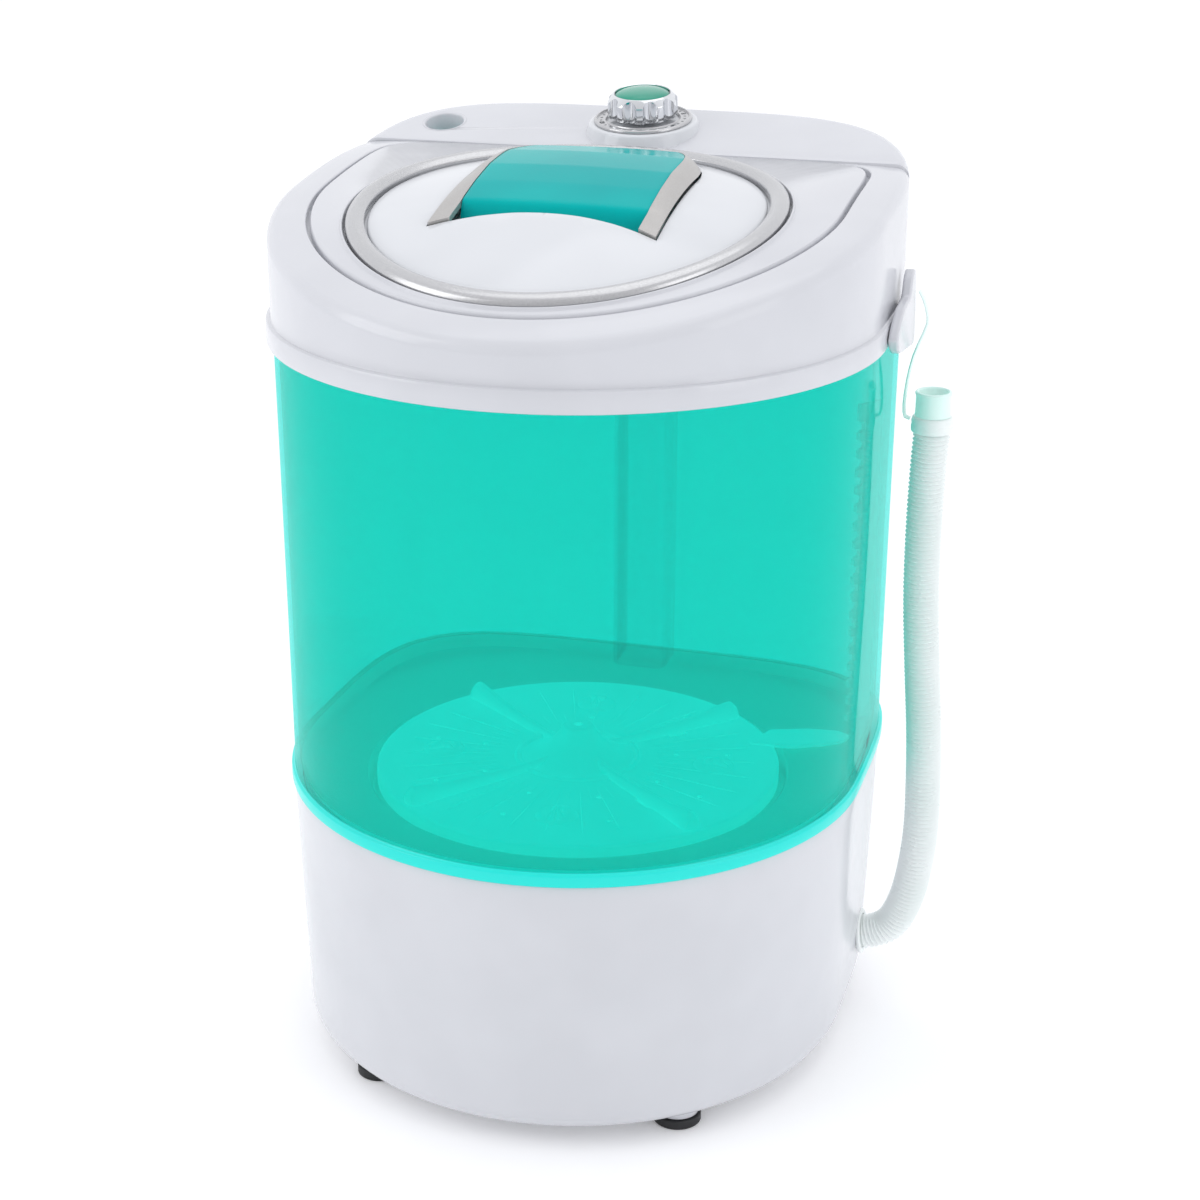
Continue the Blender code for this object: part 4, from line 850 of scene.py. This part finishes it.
edge = [(COVER_RADIUS - 0.0070 + reach, 0.0070 - rise)
        for reach, rise in arc((0.0, 0.0), (0.0070, 0.0070), 0, 90, 7)]
panel = tower("panel_shell", [roof_ring(COVER_RADIUS, 0.12), *[roof_ring(*point) for point in edge]],
              ends="caps")
hollow = tower("panel_hollow", [roof_ring(COVER_RADIUS - WALL, 0.13), roof_ring(COVER_RADIUS - WALL, 0.0090),
                                roof_ring(COVER_RADIUS - 0.0090, WALL)], ends="caps")
carve(panel, hollow)
carve(panel, block("front_cutter", (0.40, 0.30, 0.20), (0.0, CREASE_Y + 0.0003 - 0.15, 0.48)))
carve(panel, block("under_cutter", (0.40, 0.40, 0.20), (0.0, 0.0, 0.3453)))
INLET_FRAME = (
    Matrix.Translation((-0.1220, 0.1300, CREASE_Z + math.tan(PANEL_TILT) * (0.1300 - CREASE_Y)))
    @ Matrix.Rotation(PANEL_TILT, 4, "X")
)
carve(panel, lathe("inlet_cutter", [(0.0128, -0.02), (0.0128, 0.02)], INLET_FRAME, 64, "caps"))
carve(panel, lathe("bore_cutter", [(0.0080, -0.03), (0.0080, 0.02)], KNOB_FRAME, 40, "caps"))
round_edges(panel, 0.0007, 2, 50)
dress(panel, WHITE_ABS, "washer", "white_abs", "control_panel")

# %% Water inlet
inlet = lathe(
    "inlet_funnel",
    [(0.0133, 0.0001), (0.0129, 0.0003), (0.0124, 0.0002),
     *arc((0.0124, -0.0012), (0.0010, 0.0013), 100, 170, 4), (0.0108, -0.0060), (0.0104, -0.0220),
     (0.0116, -0.0220), (0.0120, -0.0012), (0.0124, 0.0001)],
    INLET_FRAME, around=64,
)
dress(inlet, WHITE_ABS, "washer", "white_abs", "inlet_sleeve")

# %% [markdown]
# ## The timer
# The seat is a low round boss that flares into the panel. On it lie a thin silver dial ring and the printed
# minutes, and the knob stands in the middle: a chrome-plated cup with ten scallops and a green domed cap.
# The scallops are cut with upright cylinders, so they run out as arches in the knob's chamfer.

# %% Timer seat
seat = lathe(
    "timer_seat",
    [(0.0, 0.0), (0.0296, 0.0), *arc((0.0302, -0.0022), (0.0022, 0.0022), 80, 15, 4), (0.0332, -0.0040),
     (0.0342, -0.0075), (0.0356, -0.0110), (0.0372, -0.0140), (0.0372, -0.0200), (0.0, -0.0200)],
    KNOB_FRAME, around=96, ends="caps",
)
carve(seat, lathe("seat_bore_cutter", [(0.0060, -0.03), (0.0060, 0.01)], KNOB_FRAME, 32, "caps"))
carve(seat, block("seat_under_cutter", (0.10, 0.12, 0.04), (0.0, KNOB_BACK, 0.4880),
                  Matrix.Rotation(PANEL_TILT, 4, "X")))
tidy_mesh(seat)
dress(seat, WHITE_ABS_PAINTED_LIGHTER, "washer", "white_abs", "knob_seat")
dial_ring = lathe(
    "dial_bezel",
    [(0.0288, 0.0003), *arc((0.0278, 0.0010), (0.0010, 0.0010), 0, 90, 4), (0.0272, 0.0020), (0.0270, 0.0010),
     (0.0222, 0.0010), (0.0218, 0.0016), (0.0214, 0.0010), (0.0214, 0.0003)],
    KNOB_FRAME, around=96,
)
dress(dial_ring, SILVER, "washer", "silver_plastic", "dial_ring")

# %% Dial numbers and ticks
DIAL_RADIUS = 0.0246  # where the numbers and ticks stand


def dial_number(text, angle):
    """A minute number, laid flat on the dial and read from in front."""
    bpy.ops.object.select_all(action="DESELECT")
    bpy.ops.object.text_add()
    obj = bpy.context.active_object
    obj.data.body = text
    obj.data.size = 0.0040
    obj.data.align_x = "CENTER"
    obj.data.align_y = "CENTER"
    obj.data.extrude = 0.00008
    bpy.ops.object.convert(target="MESH")
    spot = Vector((DIAL_RADIUS * math.sin(angle), DIAL_RADIUS * math.cos(angle), 0.0012))
    obj.data.transform(KNOB_FRAME @ Matrix.Translation(spot) @ Matrix.Rotation(-angle, 4, "Z"))
    return obj


marks = []
for place, minutes in enumerate((0, 3, 6, 9, 12, 15)):
    marks.append(dial_number(str(minutes), math.radians(60 * place)))
for step in range(30):
    if step % 5 == 0:
        continue
    turn = Matrix.Rotation(-math.radians(12 * step), 4, "Z")
    marks.append(block("tick", (0.0004, 0.0014, 0.0001), (0.0, 0.0, 0.0)))
    marks[-1].data.transform(KNOB_FRAME @ turn @ Matrix.Translation((0.0, DIAL_RADIUS, 0.0011)))
for obj in marks:
    obj.location = (0.0, 0.0, 0.0)
dial_print = join("dial_minutes", marks)
dress(dial_print, PRINT_GREY, "washer", "grey_plastic")

# %% Knob
knob = lathe(
    "chrome_knob",
    [(0.0, 0.0030), (0.0200, 0.0030), *arc((0.0200, 0.0036), (0.0006, 0.0006), -90, 0, 3), (0.0206, 0.0118),
     *arc((0.0198, 0.0122), (0.0008, 0.0008), 0, 45, 2), (0.0172, 0.0162), (0.0168, 0.0165), (0.0164, 0.0162),
     (0.0162, 0.0134), (0.0, 0.0134)],
    KNOB_FRAME, around=120, ends="caps",
)
for scallop in range(10):
    angle = math.radians(36 * scallop + 10)
    spot = KNOB_FRAME @ Matrix.Translation((0.0236 * math.cos(angle), 0.0236 * math.sin(angle), 0.0))
    carve(knob, lathe("scallop_cutter", [(0.0058, 0.0), (0.0058, 0.03)], spot, 40, "caps"))
carve(knob, lathe("socket_cutter", [(0.0032, -0.01), (0.0032, 0.0104)], KNOB_FRAME, 24, "caps"))
round_edges(knob, 0.0004, 2, 40)
dress(knob, CHROME, "timer", "chrome_plastic", "timer_knob")
cap = lathe(
    "knob_dome",
    [(0.0, 0.0137), (0.0158, 0.0137), (0.0158, 0.0152), (0.0152, 0.0160), (0.0120, 0.0171), (0.0080, 0.0177),
     (0.0040, 0.0180), (0.0008, 0.0181)],
    KNOB_FRAME, around=72, ends="caps",
)
dress(cap, GREEN_CAP, "timer", "green_plastic", "knob_cap")

# %% [markdown]
# ## The lid
# The lid is a shallow white dish with a sprayed silver ring round it. Across its back half lies the grip: a
# green plate between two warm silver bands, raised at the back like a low bridge and diving at the front
# into a pocket, where the fingers go in. The white front of the lid ends above that pocket in a bowed lip.

# %% Lid moulding


def crown_height(radius):
    """The lid's domed surface above the deck, highest in the middle."""
    return 0.0006 + LID_CROWN * (1 - (radius / RING_INNER) ** 2)


LID_SKIN = 0.0024
dome = [(radius, crown_height(radius))
        for radius in (0.001, 0.020, 0.040, 0.055, 0.070, 0.082, 0.093, 0.101)]
under = [(radius, crown_height(radius) - LID_SKIN)
         for radius in (0.100, 0.086, 0.070, 0.050, 0.025, 0.001)]
lid_edge = (
    (0.1052, 0.0010), (0.1061, 0.0005), (0.1066, -0.0003), (0.1067, -0.0014), (0.1184, -0.0012),
    (0.1184, -0.0038), (0.1110, -0.0038), (0.1110, -0.0140), (0.1088, -0.0140), (0.1086, -0.0040),
)
lid = tower("lid_moulding", [seat_ring(*row) for row in (*dome, *lid_edge, *under)], ends="caps")
GRIP_HALF = 0.0512
BAND_HALF = 0.0612
GRIP_BACK = 0.0935
PLATE_FRONT = -0.0330
LIP_MIDDLE = -0.0335
LIP_BOW = 0.0155
LIP_REACH = 0.0620
POCKET_SIDE_START = -0.040
LID_PLANE = (
    Matrix.Translation((0.0, LID_Y, deck_height(LID_Y)))
    @ Matrix.Rotation(math.atan(DECK_SLOPE - 2 * DECK_BEND * LID_Y), 4, "X")
)


def corner_fade(y, start, end, power=2.4):
    """1 up to start, then rounding off to nothing at end."""
    part = min(max((y - start) / (end - start), 0.0), 1.0)
    return (1 - part ** power) ** (1 / power)


def lip_line(x):
    """Where the white front of the lid ends, a bow that is furthest back in the middle."""
    return LIP_MIDDLE - LIP_BOW * (x / LIP_REACH) ** 2


def pocket_outline(grow):
    """The pocket's outline from above: the bowed lip in front and round corners at the back."""
    half = BAND_HALF + 0.0010 + grow
    across = [half * (1 - 2 * step / 24) for step in range(25)]
    line = [(x, lip_line(x) - grow) for x in reversed(across)]
    side = []
    for step in range(1, 13):
        y = POCKET_SIDE_START + (GRIP_BACK - 0.0010 + grow - POCKET_SIDE_START) * step / 12
        side.append((half * max(corner_fade(y, 0.036, GRIP_BACK + 0.0030 + grow), 0.45), y))
    return line + side + [(-x, y) for x, y in reversed(side)]


carve(lid, slab("pocket_body", pocket_outline(LID_SKIN), -0.0106, 0.0010, LID_PLANE), "UNION")
carve(lid, slab("pocket_cutter", pocket_outline(0.0), -0.0082, 0.03, LID_PLANE))
round_edges(lid, 0.0006, 2, 50)
dress(lid, WHITE_ABS_PAINTED_LIGHTER, "lid", "white_abs", "lid_disc")

# %% Silver ring
ring_profile = [
    (0.1080, -0.0006), (0.1080, 0.0014), *arc((0.1090, 0.0020), (0.0010, 0.0010), 180, 110, 2),
    *arc((0.1133, 0.0008), (0.0051, 0.0042), 130, 8, 10), (0.1183, 0.0002), (0.1183, -0.0006),
]
ring = tower("lid_silver_ring", [seat_ring(*point) for point in ring_profile])
dress(ring, SILVER, "lid", "silver_plastic", "lid_ring")

# %% Grip plate and bands
GRIP_LINE = ((PLATE_FRONT, -0.0066), (-0.0305, -0.0056), (-0.0281, -0.0020), (-0.0261, 0.0045),
             (-0.0247, 0.0082), (-0.0235, 0.0100), (-0.0215, 0.0110), (0.0000, 0.0132), (0.0250, 0.0146),
             (0.0560, 0.0136), (0.0780, 0.0108), (0.0880, 0.0085), (GRIP_BACK, 0.0066))
BAND_LINE = ((-0.0535, 0.0060), (-0.0395, 0.0082), (-0.0235, 0.0104), *GRIP_LINE[6:])


def height_on(line, y):
    for (start, low), (end, high) in zip(line, line[1:]):
        if y <= end:
            return low + (high - low) * min(max((y - start) / (end - start), 0.0), 1.0)
    return line[-1][1]


def plate_surface(x, y):
    return height_on(GRIP_LINE, y) + 0.0008 * (1 - (x / GRIP_HALF) ** 2)


def band_surface(x, y):
    """From the plate's edge down to a little above the lid's dome."""
    part = min(max((abs(x) / plate_side(y) - 1) / (band_side(y) / plate_side(y) - 1), 0.0), 1.0)
    outer = crown_height(math.hypot(x, y)) + 0.0016
    inner = max(height_on(BAND_LINE, y) + 0.0003, outer)
    return inner + (outer - inner) * part ** 1.6


def plate_side(y):
    return GRIP_HALF * max(corner_fade(y, 0.0420, GRIP_BACK + 0.0030), 0.30)


def band_side(y):
    return BAND_HALF * max(corner_fade(y, 0.0360, GRIP_BACK + 0.0035), 0.30) + 0.0004


def grip_sheet(name, left, right, front, surface, rows, columns, thickness):
    """A sheet between two side lines, laid on a surface over the lid and then given its thickness."""
    bpy.ops.object.select_all(action="DESELECT")
    bpy.ops.mesh.primitive_grid_add(x_subdivisions=columns, y_subdivisions=rows, size=2.0)
    obj = fresh(name)
    for point in obj.data.vertices:
        across, back = (point.co.x + 1) / 2, (point.co.y + 1) / 2
        start = front(left(0.0) + (right(0.0) - left(0.0)) * across)
        y = start + (GRIP_BACK - start) * back
        x = left(y) + (right(y) - left(y)) * across
        point.co = on_lid(x, y - 0.0030 * (x / BAND_HALF) ** 2 * back, surface(x, y))
    solid = obj.modifiers.new("Thickness", "SOLIDIFY")
    solid.thickness = thickness
    solid.offset = -1.0
    apply_all(obj)
    return round_edges(obj, 0.0005, 2, 60)


plate = grip_sheet("grip_plate", lambda y: -plate_side(y) + 0.0002, lambda y: plate_side(y) - 0.0002,
                   lambda x: PLATE_FRONT, plate_surface, 90, 40, 0.0020)
dress(plate, GREEN_PLATE, "lid", "green_plastic", "lid_handle")
for name, side in (("left", -1), ("right", 1)):
    near = (lambda y: plate_side(y)) if side > 0 else (lambda y: -band_side(y))
    far = (lambda y: band_side(y)) if side > 0 else (lambda y: -plate_side(y))
    band = grip_sheet(f"grip_band_{name}", near, far, lambda x: lip_line(x) + 0.0004, band_surface, 72, 10,
                      0.0030)
    dress(band, WARM_SILVER, "lid", "warm_grey_plastic", f"handle_trim_{name}")

# %% [markdown]
# ## The nodes that keep their shape
# The drive, the motor, the bearings, the filter strip and the rear duct are right as they come from the
# engineering model, so they keep their shape and only get a real finish.

# %% Finishes for the remaining nodes
KEPT = (
    (WHITE_ABS, "base_plate"), (CUFF_MILKY, "overflow_filter"), (DUCT_TINT, "rear_duct"),
    (RUBBER, "tub_gasket shaft_seal drive_belt cord_gland"),
    (STEEL, "base_screw_1 base_screw_2 base_screw_3 base_screw_4 pulsator_screw"),
    (STEEL, "drive_shaft motor_shaft timer_shaft motor_bracket"),
    (CAST_ALUMINIUM, "motor_body motor_pulley"), (BRONZE, "bearing_lower bearing_upper"),
    (GREY_PLASTIC, "driven_pulley sump_strainer outlet_pipe motor_capacitor timer_body bearing_housing"),
)
for finish, nodes in KEPT:
    for node in nodes.split():
        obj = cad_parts[node]
        obj.data.materials.clear()
        obj.data.materials.append(finish)

# %% [markdown]
# ## Floor and light
# A pale seamless floor and broad soft light, as in a product studio. Large panels to the left, to the right
# and above give the long reflections on the white shell, and a bright surround shines through the tub from
# behind, which is where its colour comes from.

# %% Floor
bpy.ops.object.select_all(action="DESELECT")
bpy.ops.mesh.primitive_plane_add(size=12.0)
floor = bpy.context.active_object
floor.name = "studio_floor"
floor_finish, floor_tree = new_finish("matt white paper")
floor_shader = add_node(floor_tree, "ShaderNodeBsdfPrincipled", {
    "Base Color": shade("#F8F8F9"), "Roughness": 0.9, "Emission Color": shade("#FFFFFF"),
    "Emission Strength": 0.14})
add_node(floor_tree, "ShaderNodeOutputMaterial", (), {"Surface": floor_shader.outputs["BSDF"]})
floor.data.materials.append(floor_finish)

# %% Light


def soft_panel(name, place, size, power):
    data = bpy.data.lights.new(name, "AREA")
    data.shape = "RECTANGLE"
    data.size, data.size_y = size
    data.energy = power
    panel_light = bpy.data.objects.new(name, data)
    bpy.context.scene.collection.objects.link(panel_light)
    panel_light.location = place
    panel_light.rotation_euler = (Vector((0.0, 0.0, 0.25)) - Vector(place)).to_track_quat("-Z", "Y").to_euler()


soft_panel("left_softbox", (-1.6, -1.1, 1.3), (1.2, 1.6), 9.0)
soft_panel("right_softbox", (1.7, -0.6, 1.0), (0.9, 1.5), 4.0)
soft_panel("top_softbox", (0.1, 0.3, 2.1), (1.6, 1.6), 4.0)

# %% Bright surround
world = bpy.data.worlds.new("bright studio")
world.use_nodes = True
bpy.context.scene.world = world
sky = world.node_tree
sky.nodes.clear()
direction = add_node(sky, "ShaderNodeTexCoord")
split = add_node(sky, "ShaderNodeSeparateXYZ", (), {0: direction.outputs["Generated"]})
front_dim = add_node(sky, "ShaderNodeMapRange", {"From Min": -1.0, "From Max": 0.2, "To Min": 0.68,
                                                 "To Max": 1.08},
                     {"Value": split.outputs["Y"]})
surround = add_node(sky, "ShaderNodeBackground", {"Color": shade("#FBFCFF")},
                    {"Strength": front_dim.outputs[0]})
add_node(sky, "ShaderNodeOutputWorld", (), {"Surface": surround.outputs[0]})
